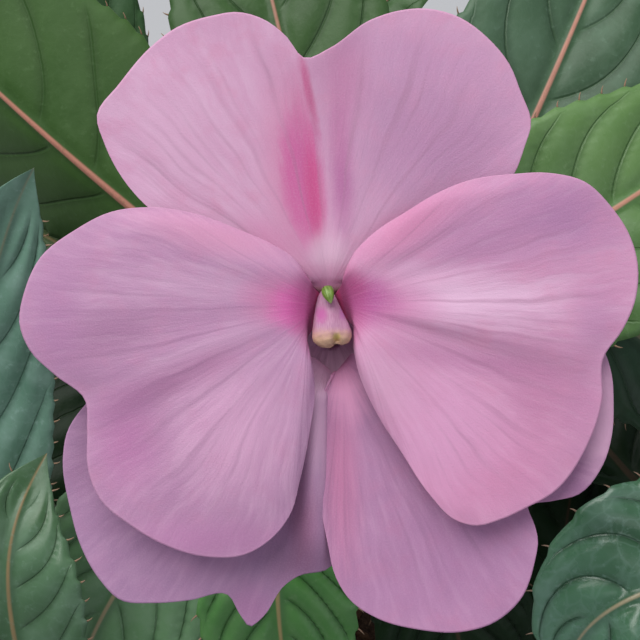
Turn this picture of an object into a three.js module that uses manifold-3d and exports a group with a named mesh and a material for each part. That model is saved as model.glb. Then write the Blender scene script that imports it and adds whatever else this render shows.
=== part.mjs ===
// Potted new guinea impatiens: a bushy bedding plant with one open flower, in a plain pot.
// Millimetres, +Z up. The origin is the centre of the pot's flat underside; the flower faces -Y and up.
import * as THREE from 'three';
import { mergeVertices } from 'three/addons/utils/BufferGeometryUtils.js';
import Module from 'manifold-3d';

// ---- driving dimensions -------------------------------------------------
const POT_HEIGHT = 113;          // floor to rim
const POT_BASE_R = 43;           // outer radius of the underside
const POT_NECK_R = 58.6;         // outer radius just below the collar
const POT_COLLAR_Z = 95;         // height at which the collar starts
const POT_RIM_R = 64;            // outer radius of the rim
const POT_WALL = 2.2;
const POT_FLOOR = 3.0;
const DRAIN_HOLES = 8;
const DRAIN_R = 4.2;
const DRAIN_RING_R = 32;
const SOIL_Z = 99;               // level of the potting mix at its edge
const SOIL_MOUND = 2.6;          // how much it rises to the middle
const SOIL_GAP = 0.4;            // clearance between mix and pot
const SOCKET_GAP = 0.35;         // clearance between mix and stem
const FLOWER_POS = [5, -30, 243];
const FLOWER_TILT = 32;          // degrees that the flower leans to the front
const PETAL_T = 0.45;
const PETAL_STEPS = [0, 0.03, 0.08, 0.18, 0.36, 0.58, 0.8, 1];
const PETAL_COLUMNS = 26;
const PETIOLE_R = 1.15;
const BLADE_T_MID = 1.2;
const BLADE_T_EDGE = 0.6;
const STEM_SIDES = 8;
const STEM_STEPS = 9;

// ---- shoots: root x,y,z, two control points, tip, radius at soil, radius at tip ----
const STEMS = {
  stem_main: { B: [[2, 2, 88], [5.4, -3.78, 118], [10.4, -12.28, 158.4], [12, -15, 198]], r0: 5.2, r1: 2.7 },
  stem_right: { B: [[24, -8, 88], [38.96, -16.16, 118], [60.96, -28.16, 144.96], [68, -32, 177]], r0: 4.8, r1: 2.6 },
  stem_front_left: { B: [[-14, -24, 88], [-22.5, -42.02, 118], [-35, -68.52, 121.92], [-39, -77, 141]], r0: 4.8, r1: 2.6 },
  stem_left: { B: [[-25, 3, 88], [-34.18, 4.7, 118], [-47.68, 7.2, 134.08], [-52, 8, 160]], r0: 4.8, r1: 2.6 },
  stem_back: { B: [[-8, 25, 88], [-10.04, 33.5, 118], [-13.04, 46, 137.92], [-14, 50, 166]], r0: 4.8, r1: 2.6 },
  stem_back_right: { B: [[18, 18, 88], [28.2, 24.8, 118], [43.2, 34.8, 135.36], [48, 38, 162]], r0: 4.8, r1: 2.6 },
  stem_front_right: { B: [[12, -26, 88], [19.48, -40.28, 118], [30.48, -61.28, 118.72], [34, -68, 136]], r0: 4.6, r1: 2.6 },
};

// ---- leaves: midrib control points, up directions, petiole share, half width, fold, cup ----
const LEAVES = [
  { name: 'leaf_main_01', color: 0x4d6b4a, B: [[8.32, -10.61, 196.16], [-6.73, -12.31, 221.82], [-35.5, 10.87, 225.89], [-61.16, 42.88, 224.86]], U0: [-0.337, -0.746, 0.574], U1: [-0.337, -0.746, 0.574], sp: 0.38, W: 17.5, fold: -24, cup: 0.1 },
  { name: 'leaf_main_02', color: 0x4f7443, B: [[8.26, -10.13, 189.38], [-8.64, -7.87, 199.05], [-33.26, 9.53, 202.26], [-42.9, 16.39, 198.88]], U0: [0.01, -0.32, 0.947], U1: [0.01, -0.32, 0.947], sp: 0.22, W: 14, fold: 16, cup: 0.1 },
  { name: 'leaf_main_03', color: 0x5a7a3c, B: [[11.41, -9.61, 194.42], [3.71, 5.89, 215.9], [0.38, 24.3, 235.66], [-10.7, 66.68, 235.02]], U0: [-0.017, -0.473, 0.881], U1: [-0.017, -0.473, 0.881], sp: 0.22, W: 15.5, fold: 16, cup: 0.1 },
  { name: 'leaf_main_04', color: 0x4a6a50, B: [[14.96, -9.86, 193.09], [25.77, -1.96, 209.42], [37.99, 19.6, 227.22], [53.26, 60.62, 228.88]], U0: [0.098, -0.492, 0.865], U1: [0.098, -0.492, 0.865], sp: 0.2, W: 17, fold: 16, cup: 0.1 },
  { name: 'leaf_main_05', color: 0x58803f, B: [[16.27, -12.84, 198.3], [29.59, -5.59, 221.9], [37.06, -12.58, 229.51], [80.93, 29.45, 223.55]], U0: [-0.054, -0.45, 0.891], U1: [-0.054, -0.45, 0.891], sp: 0.2, W: 15.5, fold: 16, cup: 0.1 },
  { name: 'leaf_main_06', color: 0x35573a, B: [[16.57, -10.13, 189.38], [27.14, 4.53, 206.4], [60.63, 3.24, 206.39], [68.65, -18.7, 165.16]], U0: [0.336, -0.384, 0.86], U1: [0.336, -0.384, 0.86], sp: 0.2, W: 14, fold: 16, cup: 0.1 },
  { name: 'leaf_main_07', color: 0x568a35, B: [[9.34, -17.72, 191.71], [-6.65, -33.76, 195.45], [0.53, -42.89, 192.89], [1.38, -59.59, 153.76]], U0: [-0.025, -0.669, 0.743], U1: [-0.025, -0.669, 0.743], sp: 0.25, W: 10.9, fold: 16, cup: 0.1 },
  { name: 'leaf_main_08', color: 0x48695a, B: [[7.71, -11.5, 183.81], [-10.04, -19.43, 180.43], [-32.57, -29.62, 177.4], [-36.5, -54.4, 140.49]], U0: [-0.111, -0.647, 0.754], U1: [-0.111, -0.647, 0.754], sp: 0.2, W: 15, fold: 16, cup: 0.1 },
  { name: 'leaf_main_09', color: 0x4f7443, B: [[15.3, -17.19, 179.07], [22.22, -26.17, 176.61], [27.08, -36.89, 169.52], [31.47, -55.49, 132.74]], U0: [0.083, -0.754, 0.652], U1: [0.083, -0.754, 0.652], sp: 0.2, W: 12, fold: 16, cup: 0.1 },
  { name: 'leaf_right_01', color: 0x4a7766, B: [[73.16, -34.53, 185.93], [61.89, -43.96, 202.63], [38.09, -42.92, 202.9], [38.42, -51.91, 184.5]], U0: [0.084, -0.247, 0.965], U1: [0.084, -0.247, 0.965], sp: 0.12, W: 14.3, fold: 16, cup: 0.1 },
  { name: 'leaf_front_left_01', color: 0x5b8467, B: [[-33.64, -71.05, 139.52], [-36.41, -43.33, 183.18], [-42.5, -43.12, 195.5], [-33.42, -22.56, 195.77]], U0: [-0.001, -0.757, 0.653], U1: [-0.001, -0.757, 0.653], sp: 0.2, W: 10.5, fold: 16, cup: 0.1 },
  { name: 'leaf_front_left_02', color: 0x527a6d, B: [[-42.82, -74.29, 130.42], [-56.95, -54.64, 155.68], [-46.71, -2.76, 204.6], [-32.74, 2.91, 228.19]], U0: [-0.029, -0.783, 0.621], U1: [-0.029, -0.783, 0.621], sp: 0.2, W: 13.2, fold: 16, cup: 0.1 },
  { name: 'leaf_young_01', color: 0x4f7443, B: [[11.45, -14.7, 201.86], [11.79, -14.57, 211.76], [13.02, -13.92, 216.69], [14.36, -12.16, 222.31]], U0: [-0.169, -0.975, 0.145], U1: [-0.169, -0.975, 0.145], sp: 0.15, W: 5.5, fold: 30, cup: 0.1 },
  { name: 'leaf_young_02', color: 0x4f7443, B: [[15.27, -16.71, 199.42], [17.47, -22.73, 205.09], [20.14, -26.39, 208.7], [24.7, -28, 210.06]], U0: [-0.763, -0.028, 0.646], U1: [-0.763, -0.028, 0.646], sp: 0.15, W: 5.5, fold: 30, cup: 0.1 },
  { name: 'leaf_right_02', color: 0x4f7443, B: [[70.76, -29.74, 172.2], [89.24, -22.13, 188.9], [106.58, -11.76, 202.69], [120.56, -2.76, 206.04]], U0: [-0.447, -0.251, 0.858], U1: [-0.447, -0.251, 0.858], sp: 0.218, W: 15.41, fold: 19.5, cup: 0.051 },
  { name: 'leaf_right_03', color: 0x4f7443, B: [[63.92, -27.71, 171.33], [48.48, -7.37, 169.89], [37.43, 16.3, 166.37], [29.19, 36.28, 157.83]], U0: [-0.06, 0.175, 0.983], U1: [-0.06, 0.175, 0.983], sp: 0.204, W: 18.38, fold: 10, cup: 0.079 },
  { name: 'leaf_right_04', color: 0x4f7443, B: [[63.48, -33.73, 160.06], [68.02, -66.13, 155.96], [67.74, -99.21, 146.58], [66.64, -126.39, 124.51]], U0: [-0.019, -0.359, 0.933], U1: [-0.019, -0.359, 0.933], sp: 0.21, W: 17.94, fold: 21.6, cup: 0.108 },
  { name: 'leaf_right_05', color: 0x4f7443, B: [[60.39, -32.53, 162.96], [31.6, -54.97, 156.68], [2.31, -76.78, 142.64], [-21.75, -94.5, 109.97]], U0: [-0.273, -0.391, 0.879], U1: [-0.273, -0.391, 0.879], sp: 0.235, W: 21.29, fold: 21.9, cup: 0.138 },
  { name: 'leaf_front_left_03', color: 0x4f7443, B: [[-42.41, -74.83, 137.57], [-61.74, -73.11, 150.22], [-81.01, -70.77, 161.35], [-96.77, -68.74, 166.32]], U0: [0.475, 0.154, 0.866], U1: [0.475, 0.154, 0.866], sp: 0.191, W: 15, fold: 16.6, cup: 0.049 },
  { name: 'leaf_front_left_04', color: 0x4f7443, B: [[-36.49, -79.71, 138.67], [-26.8, -98.55, 155], [-18.6, -118.16, 169.35], [-12.16, -134.34, 175.66]], U0: [-0.348, 0.415, 0.841], U1: [-0.348, 0.415, 0.841], sp: 0.203, W: 16.85, fold: 17.1, cup: 0.136 },
  { name: 'leaf_front_left_05', color: 0x4f7443, B: [[-39.79, -68.44, 129.67], [-66.55, -67.7, 140.94], [-93.28, -65.5, 146.91], [-115.13, -63.42, 137.35]], U0: [0.082, -0.248, 0.965], U1: [0.082, -0.248, 0.965], sp: 0.214, W: 16.12, fold: 21.3, cup: 0.092 },
  { name: 'leaf_front_left_06', color: 0x4f7443, B: [[-39.63, -68.64, 133.76], [-59.86, -40.39, 129.67], [-84.66, -15.43, 117.14], [-105.79, 4.4, 83.87]], U0: [-0.504, 0.127, 0.854], U1: [-0.504, 0.127, 0.854], sp: 0.228, W: 20.81, fold: 11.7, cup: 0.064 },
  { name: 'leaf_left_01', color: 0x4f7443, B: [[-53.48, 11.65, 157.89], [-64.78, 34.26, 172.05], [-72.98, 58.42, 184.25], [-79.13, 78.47, 188.86]], U0: [-0.044, -0.434, 0.9], U1: [-0.044, -0.434, 0.9], sp: 0.218, W: 16.76, fold: 17.4, cup: 0.152 },
  { name: 'leaf_left_02', color: 0x4f7443, B: [[-53.69, 4.49, 155.32], [-64.63, -9.66, 170.52], [-77.89, -22, 183.48], [-89.16, -31.78, 187.95]], U0: [0.324, 0.438, 0.839], U1: [0.324, 0.438, 0.839], sp: 0.225, W: 13.36, fold: 19.1, cup: 0.127 },
  { name: 'leaf_left_03', color: 0x4f7443, B: [[-51.64, 11.26, 147.9], [-69.26, 38.38, 144.57], [-83.15, 67.93, 137.2], [-93.83, 92.55, 120.13]], U0: [-0.2, 0.222, 0.954], U1: [-0.2, 0.222, 0.954], sp: 0.185, W: 17.34, fold: 10.6, cup: 0.142 },
  { name: 'leaf_left_04', color: 0x4f7443, B: [[-51.64, 3.93, 146.41], [-74.52, -23.3, 142.76], [-97.15, -50.75, 132.61], [-115.61, -73.24, 106.55]], U0: [-0.007, -0.455, 0.891], U1: [-0.007, -0.455, 0.891], sp: 0.217, W: 20.21, fold: 12.3, cup: 0.08 },
  { name: 'leaf_left_05', color: 0x4f7443, B: [[-44.56, 9.17, 146.96], [-15.31, 20.95, 149.34], [13.59, 33.59, 146.45], [37.18, 44.09, 129.7]], U0: [0.276, -0.18, 0.944], U1: [0.276, -0.18, 0.944], sp: 0.216, W: 17.4, fold: 19.8, cup: 0.049 },
  { name: 'leaf_back_01', color: 0x4f7443, B: [[-11.16, 52.68, 162.9], [3.09, 69.23, 174.29], [16.75, 86.28, 184.68], [27.82, 100.33, 190.49]], U0: [-0.236, -0.335, 0.912], U1: [-0.236, -0.335, 0.912], sp: 0.204, W: 13.8, fold: 16.8, cup: 0.075 },
  { name: 'leaf_back_02', color: 0x4f7443, B: [[-17.1, 52.01, 161.76], [-31.53, 63.89, 178.98], [-48.76, 72.37, 193.57], [-63.36, 78.69, 198.34]], U0: [0.35, -0.488, 0.799], U1: [0.35, -0.488, 0.799], sp: 0.227, W: 14.93, fold: 16.7, cup: 0.099 },
  { name: 'leaf_back_03', color: 0x4f7443, B: [[-9.48, 49.5, 152.21], [22.84, 68.19, 156.19], [56.7, 84.22, 150.3], [84.68, 96.84, 118.54]], U0: [0.319, 0.038, 0.947], U1: [0.319, 0.038, 0.947], sp: 0.208, W: 22.06, fold: 16.4, cup: 0.109 },
  { name: 'leaf_back_04', color: 0x4f7443, B: [[-17.47, 48.71, 151.16], [-45.61, 60.21, 159.89], [-73.32, 72.76, 161.71], [-95.92, 83.22, 144.34]], U0: [0.032, 0.263, 0.964], U1: [0.032, 0.263, 0.964], sp: 0.183, W: 18.41, fold: 15.7, cup: 0.085 },
  { name: 'leaf_back_05', color: 0x4f7443, B: [[-14.97, 43.58, 154.57], [-26.3, 11.25, 162.27], [-36.98, -21.31, 160.19], [-45.61, -47.99, 131.81]], U0: [-0.177, -0.181, 0.967], U1: [-0.177, -0.181, 0.967], sp: 0.22, W: 20.77, fold: 18.3, cup: 0.084 },
  { name: 'leaf_back_right_01', color: 0x4f7443, B: [[51.26, 37.51, 156.98], [71.99, 38.49, 175.15], [92.58, 42.43, 190.7], [109.4, 46.19, 196.27]], U0: [-0.554, -0.052, 0.831], U1: [-0.554, -0.052, 0.831], sp: 0.221, W: 16.9, fold: 16.6, cup: 0.053 },
  { name: 'leaf_back_right_02', color: 0x4f7443, B: [[48.28, 32.99, 150.24], [71.97, 10.04, 148.43], [94.03, -14.59, 140.46], [111.78, -35.05, 117.14]], U0: [0.033, -0.412, 0.911], U1: [0.033, -0.412, 0.911], sp: 0.221, W: 18.03, fold: 10.2, cup: 0.144 },
  { name: 'leaf_back_right_03', color: 0x4f7443, B: [[43.48, 40.09, 148.73], [35.07, 72.17, 143.54], [24.94, 103.81, 129.58], [16.33, 129.61, 94.28]], U0: [-0.389, 0.39, 0.835], U1: [-0.389, 0.39, 0.835], sp: 0.201, W: 17.92, fold: 12.4, cup: 0.092 },
  { name: 'leaf_back_right_04', color: 0x4f7443, B: [[40.55, 35.59, 150.62], [8.28, 31.71, 165.92], [-24.19, 29.43, 174.12], [-50.79, 27.85, 161.49]], U0: [0.123, -0.059, 0.991], U1: [0.123, -0.059, 0.991], sp: 0.196, W: 20.77, fold: 13.5, cup: 0.067 },
  { name: 'leaf_front_right_01', color: 0x4f7443, B: [[33.4, -70.3, 130.99], [36.85, -93.95, 135.22], [37.17, -118.07, 135.9], [36.87, -137.88, 126.78]], U0: [0.166, -0.053, 0.985], U1: [0.166, -0.053, 0.985], sp: 0.225, W: 14.88, fold: 14.3, cup: 0.132 },
  { name: 'leaf_front_right_02', color: 0x4f7443, B: [[34.93, -63.34, 135.14], [40.34, -41.73, 146.65], [44.66, -19.85, 156.45], [48, -1.91, 159.8]], U0: [-0.37, -0.277, 0.887], U1: [-0.37, -0.277, 0.887], sp: 0.223, W: 15.88, fold: 19.9, cup: 0.128 },
  { name: 'leaf_front_right_03', color: 0x4f7443, B: [[28.11, -65.14, 125.08], [17.01, -93.57, 123.61], [4.83, -121.59, 114.33], [-5.34, -144.44, 85.48]], U0: [-0.303, -0.321, 0.898], U1: [-0.303, -0.321, 0.898], sp: 0.224, W: 16.97, fold: 14.8, cup: 0.106 },
  { name: 'leaf_front_right_04', color: 0x4f7443, B: [[28.15, -61.13, 130.39], [4.91, -39.36, 135.77], [-19.53, -18.87, 134.5], [-39.75, -2.34, 115.37]], U0: [-0.033, 0.211, 0.977], U1: [-0.033, 0.211, 0.977], sp: 0.219, W: 19.41, fold: 14.6, cup: 0.16 },
];

// ---- petals in the flower frame: claw segment, rim outline, heights at claw, middle and rim ----
const PETALS = {
  petal_top: { color: 0xd29fc0, claw: [-0.23, 4.3, 2.09, 4.42], zc: -5, zm: -2.2, zr: -1.8, crease: 0.5, fold: 0.5,
    rim: [[-2.28, 5.48], [-8.57, 7.77], [-14.28, 9.6], [-19.42, 12.68], [-24.56, 19.99], [-25.47, 23.42], [-23.07, 26.84], [-19.42, 31.19], [-16.56, 33.36], [-11.99, 34.84], [-9.71, 35.18], [-6.28, 34.27], [-4, 32.56], [-1.71, 29.93], [1.14, 31.07], [5.71, 34.27], [9.14, 35.41], [11.99, 35.64], [15.42, 34.84], [19.42, 31.98], [21.7, 29.13], [22.85, 26.27], [24.1, 22.28], [23.42, 19.99], [22.05, 16.45], [19.42, 13.48], [13.71, 10.51], [8.57, 7.77], [3.88, 5.48]] },
  petal_left: { color: 0xcf9abf, claw: [-0.7, 3.71, -1.62, -1.16], zc: -4.5, zm: 1.2, zr: -0.2, crease: -0.5, fold: 0.486,
    rim: [[-1.59, 5.32], [-2.72, 6.79], [-5.66, 8.72], [-9.06, 10.19], [-13.59, 11.89], [-19.25, 12.79], [-23.78, 12.23], [-27.74, 10.19], [-31.7, 7.02], [-33.4, 3.4], [-33.97, -0.57], [-32.84, -3.4], [-30, -6.23], [-26.61, -9.06], [-26.38, -12.45], [-26.27, -16.98], [-24.91, -20.38], [-21.51, -23.21], [-17.55, -25.48], [-13.02, -26.83], [-8.49, -26.61], [-5.66, -24.91], [-3.4, -22.08], [-2.26, -18.12], [-1.13, -12.45], [-0.57, -7.93], [-0.91, -4.76], [-1.25, -2.94]] },
  petal_right: { color: 0xd39dc2, claw: [2.43, 3.94, 3.83, -0.7], zc: -4.5, zm: 1.4, zr: 0.2, crease: -0.5, fold: 0.51,
    rim: [[2.82, 5.65], [3.84, 7.57], [6.33, 10.05], [9.83, 12.31], [12.99, 14.23], [16.95, 15.82], [21.8, 16.49], [25.98, 16.61], [29.94, 15.59], [32.76, 12.99], [35.02, 9.6], [35.93, 6.21], [35.59, 2.26], [34.12, -1.13], [31.97, -4.29], [31.86, -9.04], [30.5, -13.56], [26.21, -19.66], [23.5, -21.13], [20.34, -22.59], [17.51, -23.27], [15.25, -22.59], [12.43, -19.77], [9.04, -14.69], [6.21, -10.17], [4.29, -5.65], [3.73, -2.94]] },
  petal_lower_left: { color: 0xb083a6, claw: [-0.58, -4.44, 1.17, -5.73], zc: -6, zm: -5, zr: -5.2, crease: 0.5, fold: 0.5,
    rim: [[-2.91, -3.72], [-8.15, -4.19], [-13.96, -4.89], [-19.78, -5.59], [-24.44, -7.21], [-27.35, -9.89], [-29.32, -12.8], [-29.91, -16.29], [-29.09, -22.11], [-27.93, -26.18], [-25.6, -30.26], [-23.27, -32.58], [-19.2, -32.93], [-15.13, -32.58], [-10.71, -32], [-9.31, -34.33], [-8.15, -35.72], [-6.75, -34.68], [-4.07, -30.84], [-2.33, -29.67], [0.93, -28.86], [3.03, -26.76], [4.07, -22.69], [4.07, -17.46], [3.26, -11.64], [2.09, -7.91]] },
  petal_lower_right: { color: 0xc08fb4, claw: [2.1, -5.71, 3.5, -3.97], zc: -5.6, zm: -3, zr: -2.4, crease: 0.5, fold: 0.5,
    rim: [[1.38, -6.65], [0, -9.4], [-0.46, -14.9], [0, -20.63], [0.92, -25.79], [1.72, -29.23], [3.44, -32.09], [6.88, -34.38], [11.46, -35.53], [16.05, -35.76], [20.06, -34.61], [22.92, -32.09], [24.64, -27.51], [24.98, -25.21], [24.41, -22.92], [23.84, -21.55], [26.93, -20.74], [29.57, -20.06], [32.43, -16.62], [33.47, -13.18], [33.64, -9.63], [33.24, -5.5], [32.09, -2.87], [27.51, -2.06], [20.63, -2.29], [13.75, -2.75], [9.17, -3.21], [5.5, -3.44]] },
};

// ---- curves in the flower frame ----
const COLUMN = [[0.75, 3.22, -3], [0.72, 0.84, -2.13], [1.41, -1.42, -0.37], [1.47, -2.71, 0.5]];
const OVARY = [[0.74, 3.76, -1.2], [0.91, 3.21, -0.39], [1.09, 2.57, -0.11], [1.24, 1.87, 0.1]];
const SPUR = [[1.53, -3.18, -7.2], [1.53, -3.18, -21.2], [-7, -18.87, -18.87], [-12, -31.06, -19.51]];
const PEDICEL = [[1.18, 2.13, -8.4], [1.18, 2.13, -21.4], [3.4, -11.23, -37.79], [3.4, -16.03, -47.17]];
const SEPALS = [
  { name: 'sepal_left', B: [[-0.83, 1.65, -7.9], [-2.42, 1.83, -8.32], [-5.45, 2.72, -8.58], [-8.34, 2.74, -9.6]], U0: [0, 0, 1], U1: [0, 0, 1], sp: 0.06, W: 2.3, fold: 8, cup: 0.1 },
  { name: 'sepal_right', B: [[3.19, 1.65, -7.9], [4.8, 2.09, -8.32], [7.81, 2.7, -8.58], [10.72, 2.98, -9.6]], U0: [0, 0, 1], U1: [0, 0, 1], sp: 0.06, W: 2.3, fold: 8, cup: 0.1 },
];

const rad = THREE.MathUtils.degToRad;
const V3 = (a) => new THREE.Vector3(a[0], a[1], a[2]);
const curveOf = (B) => new THREE.CubicBezierCurve3(V3(B[0]), V3(B[1]), V3(B[2]), V3(B[3]));
function slope(curve, t) {
  const { v0, v1, v2, v3 } = curve, u = 1 - t;
  return new THREE.Vector3()
    .addScaledVector(v1.clone().sub(v0), 3 * u * u)
    .addScaledVector(v2.clone().sub(v1), 6 * u * t)
    .addScaledVector(v3.clone().sub(v2), 3 * t * t)
    .normalize();
}

// a closed skin over a chain of loops with equal counts, capped at both ends
function loft(loops) {
  const n = loops[0].length, m = loops.length, pos = [], idx = [];
  for (const l of loops) for (const p of l) pos.push(p.x, p.y, p.z);
  const mean = (l) => l.reduce((s, p) => s.add(p), new THREE.Vector3()).divideScalar(l.length);
  for (const p of [mean(loops[0]), mean(loops[m - 1])]) pos.push(p.x, p.y, p.z);
  const c0 = n * m, c1 = c0 + 1;
  for (let i = 0; i < m - 1; i++) for (let j = 0; j < n; j++) {
    const a = i * n + j, b = i * n + (j + 1) % n;
    idx.push(a, a + n, b, b, a + n, b + n);
  }
  for (let j = 0; j < n; j++) {
    idx.push(c0, j, (j + 1) % n);
    idx.push(c1, (m - 1) * n + (j + 1) % n, (m - 1) * n + j);
  }
  return outward(pos, idx);
}
function outward(pos, idx) {
  let vol = 0;
  const p = (i) => new THREE.Vector3(pos[3 * i], pos[3 * i + 1], pos[3 * i + 2]);
  for (let i = 0; i < idx.length; i += 3) vol += p(idx[i]).dot(p(idx[i + 1]).cross(p(idx[i + 2])));
  if (vol < 0) for (let i = 0; i < idx.length; i += 3) [idx[i + 1], idx[i + 2]] = [idx[i + 2], idx[i + 1]];
  const g = new THREE.BufferGeometry();
  g.setAttribute('position', new THREE.Float32BufferAttribute(pos, 3));
  g.setIndex(idx);
  g.computeVertexNormals();
  return g;
}

// round or oval rings strung along a curve: steps are [t, half width, half thickness]
function ringed(curve, steps, sides, ref = new THREE.Vector3(0.31, 0.95, 0.05)) {
  return loft(steps.map(([t, a, b]) => {
    const C = curve.getPoint(t), T = slope(curve, t);
    const u = T.clone().cross(ref).normalize(), v = T.clone().cross(u);
    return Array.from({ length: sides }, (_, j) => {
      const q = 2 * Math.PI * j / sides;
      return C.clone().addScaledVector(u, a * Math.cos(q)).addScaledVector(v, b * Math.sin(q));
    });
  }));
}
const even = (n, r0, r1) => Array.from({ length: n + 1 }, (_, i) => {
  const r = r0 + (r1 - r0) * i / n;
  return [i / n, r, r];
});

// leaf: a short petiole that widens into a folded, cupped blade
const LP = 0.85, LQ = 1.06, LN = (LP / (LP + LQ)) ** LP * (LQ / (LP + LQ)) ** LQ;
const planform = (t) => (t <= 0 || t >= 1 ? 0 : t ** LP * (1 - t) ** LQ / LN);
const bladeSteps = (sp) => [0, sp * 0.5, sp, ...[0.1, 0.24, 0.42, 0.6, 0.78, 0.92].map((k) => sp + (1 - sp) * k), 1];
function blade(L, pr = PETIOLE_R, tMid = BLADE_T_MID, tEdge = BLADE_T_EDGE) {
  const curve = curveOf(L.B), f = rad(L.fold), vs = [-1, -0.5, 0, 0.5, 1];
  return loft(bladeSteps(L.sp).map((s) => {
    const C = curve.getPoint(s), T = slope(curve, s);
    const U = V3(L.U0).multiplyScalar(1 - s).addScaledVector(V3(L.U1), s).normalize();
    const side = T.clone().cross(U).normalize(), nrm = side.clone().cross(T);
    const w = Math.max(planform((s - L.sp) / (1 - L.sp)) * L.W, 0);
    const wp = pr * (s < L.sp ? 1 : Math.max(0.25, 1 - (s - L.sp) / (1 - L.sp)));
    const top = vs.map((v) => {
      const a = w > 0 ? Math.sqrt(v * v + 0.01) - 0.1 : 0;
      return C.clone()
        .addScaledVector(side, w * v * Math.cos(f * 0.6) + v * wp * (1 - Math.min(1, w / (2.5 * wp)) * 0.5))
        .addScaledVector(nrm, w * (a * Math.sin(f) - L.cup * v * v));
    });
    const mid = Math.max(tMid, Math.min(2 * wp, 2 * wp * (1 - w / (12 * wp))));
    const edge = w > 2 * wp ? tEdge : Math.max(tEdge, wp * 1.2 * (1 - w / (2 * wp)));
    const drop = (k, h) => top[k].clone().addScaledVector(nrm, -h);
    return [...top, drop(4, edge), drop(2, mid), drop(0, edge)];
  }));
}

// a smooth run through the outline's points, by distance along it
function outline(points, n) {
  const P = points.map(([x, y]) => new THREE.Vector2(x, y)), d = [0], m = P.length;
  for (let i = 1; i < m; i++) d.push(d[i - 1] + P[i].distanceTo(P[i - 1]));
  const tan = (j) => {
    if (j === 0) return P[1].clone().sub(P[0]).divideScalar(d[1] - d[0]);
    if (j === m - 1) return P[m - 1].clone().sub(P[m - 2]).divideScalar(d[m - 1] - d[m - 2]);
    const h0 = d[j] - d[j - 1], h1 = d[j + 1] - d[j];
    const a = P[j].clone().sub(P[j - 1]).divideScalar(h0), b = P[j + 1].clone().sub(P[j]).divideScalar(h1);
    return a.multiplyScalar(h1).add(b.multiplyScalar(h0)).divideScalar(h0 + h1);
  };
  return Array.from({ length: n }, (_, k) => {
    const t = d[m - 1] * k / (n - 1);
    let i = 0;
    while (i < m - 2 && d[i + 1] <= t) i++;
    const h = d[i + 1] - d[i], x = (t - d[i]) / h, x2 = x * x, x3 = x2 * x;
    return P[i].clone().multiplyScalar(2 * x3 - 3 * x2 + 1)
      .addScaledVector(tan(i), (x3 - 2 * x2 + x) * h)
      .addScaledVector(P[i + 1], -2 * x3 + 3 * x2)
      .addScaledVector(tan(i + 1), (x3 - x2) * h);
  });
}
// petal: a thin fan from a narrow claw to the outline, dipping into the throat
function petal(p) {
  const R = outline(p.rim, PETAL_COLUMNS), nv = PETAL_COLUMNS, nu = PETAL_STEPS.length;
  const top = [], low = [];
  for (const u of PETAL_STEPS) for (let j = 0; j < nv; j++) {
    const v = j / (nv - 1);
    const c = new THREE.Vector2(p.claw[0] + (p.claw[2] - p.claw[0]) * v, p.claw[1] + (p.claw[3] - p.claw[1]) * v);
    const reach = R[j].clone().sub(c), q = c.clone().addScaledVector(reach, u);
    const s = 1 - Math.exp(-u * reach.length() / 1.3);
    const z = p.zc + (p.zm - p.zc) * s + (p.zr - p.zm) * u * u
      - p.crease * Math.exp(-(((v - p.fold) / 0.07) ** 2)) * Math.sin(Math.PI * Math.min(u * 0.9 + 0.05, 1));
    top.push(q.x, q.y, z); low.push(q.x, q.y, z - PETAL_T);
  }
  const n = nu * nv, idx = [], at = (i, j) => i * nv + j;
  for (let i = 0; i < nu - 1; i++) for (let j = 0; j < nv - 1; j++) {
    const a = at(i, j), b = at(i, j + 1), c = at(i + 1, j), d = at(i + 1, j + 1);
    idx.push(a, c, b, b, c, d, n + a, n + b, n + c, n + b, n + d, n + c);
  }
  const ring = [];
  for (let j = 0; j < nv; j++) ring.push(at(0, j));
  for (let i = 1; i < nu; i++) ring.push(at(i, nv - 1));
  for (let j = nv - 2; j >= 0; j--) ring.push(at(nu - 1, j));
  for (let i = nu - 2; i > 0; i--) ring.push(at(i, 0));
  ring.forEach((a, k) => { const b = ring[(k + 1) % ring.length]; idx.push(a, b, n + a, b, n + b, n + a); });
  return outward([...top, ...low], idx);
}

// ---- joins and cuts ------------------------------------------------------
const wasm = await Module();
wasm.setup();
function toSolid(geometry) {
  let g = geometry.clone();
  g.deleteAttribute('normal'); g.deleteAttribute('uv');
  g = mergeVertices(g, 1e-4);
  return new wasm.Manifold(new wasm.Mesh({
    numProp: 3, vertProperties: new Float32Array(g.attributes.position.array), triVerts: new Uint32Array(g.index.array),
  }));
}
function toGeometry(solid) {
  const m = solid.getMesh(), g = new THREE.BufferGeometry();
  const pos = new Float32Array(m.numVert * 3);
  for (let i = 0; i < m.numVert; i++) for (let k = 0; k < 3; k++) pos[3 * i + k] = m.vertProperties[i * m.numProp + k];
  g.setAttribute('position', new THREE.BufferAttribute(pos, 3));
  g.setIndex(Array.from(m.triVerts));
  g.computeVertexNormals();
  return g;
}

// ---- assembly ------------------------------------------------------------
const plant = new THREE.Group();
plant.name = 'potted_new_guinea_impatiens';
const skin = (color, roughness) => new THREE.MeshStandardMaterial({ color, roughness, metalness: 0 });
function add(parent, name, geometry, color, roughness, position) {
  const mesh = new THREE.Mesh(geometry, skin(color, roughness));
  mesh.name = name;
  if (position) { geometry.translate(-position[0], -position[1], -position[2]); mesh.position.set(...position); }
  parent.add(mesh);
  return mesh;
}
const lathe = (pts, n) => new THREE.LatheGeometry(pts.map(([r, z]) => new THREE.Vector2(r, z)), n).rotateX(Math.PI / 2);

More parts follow.
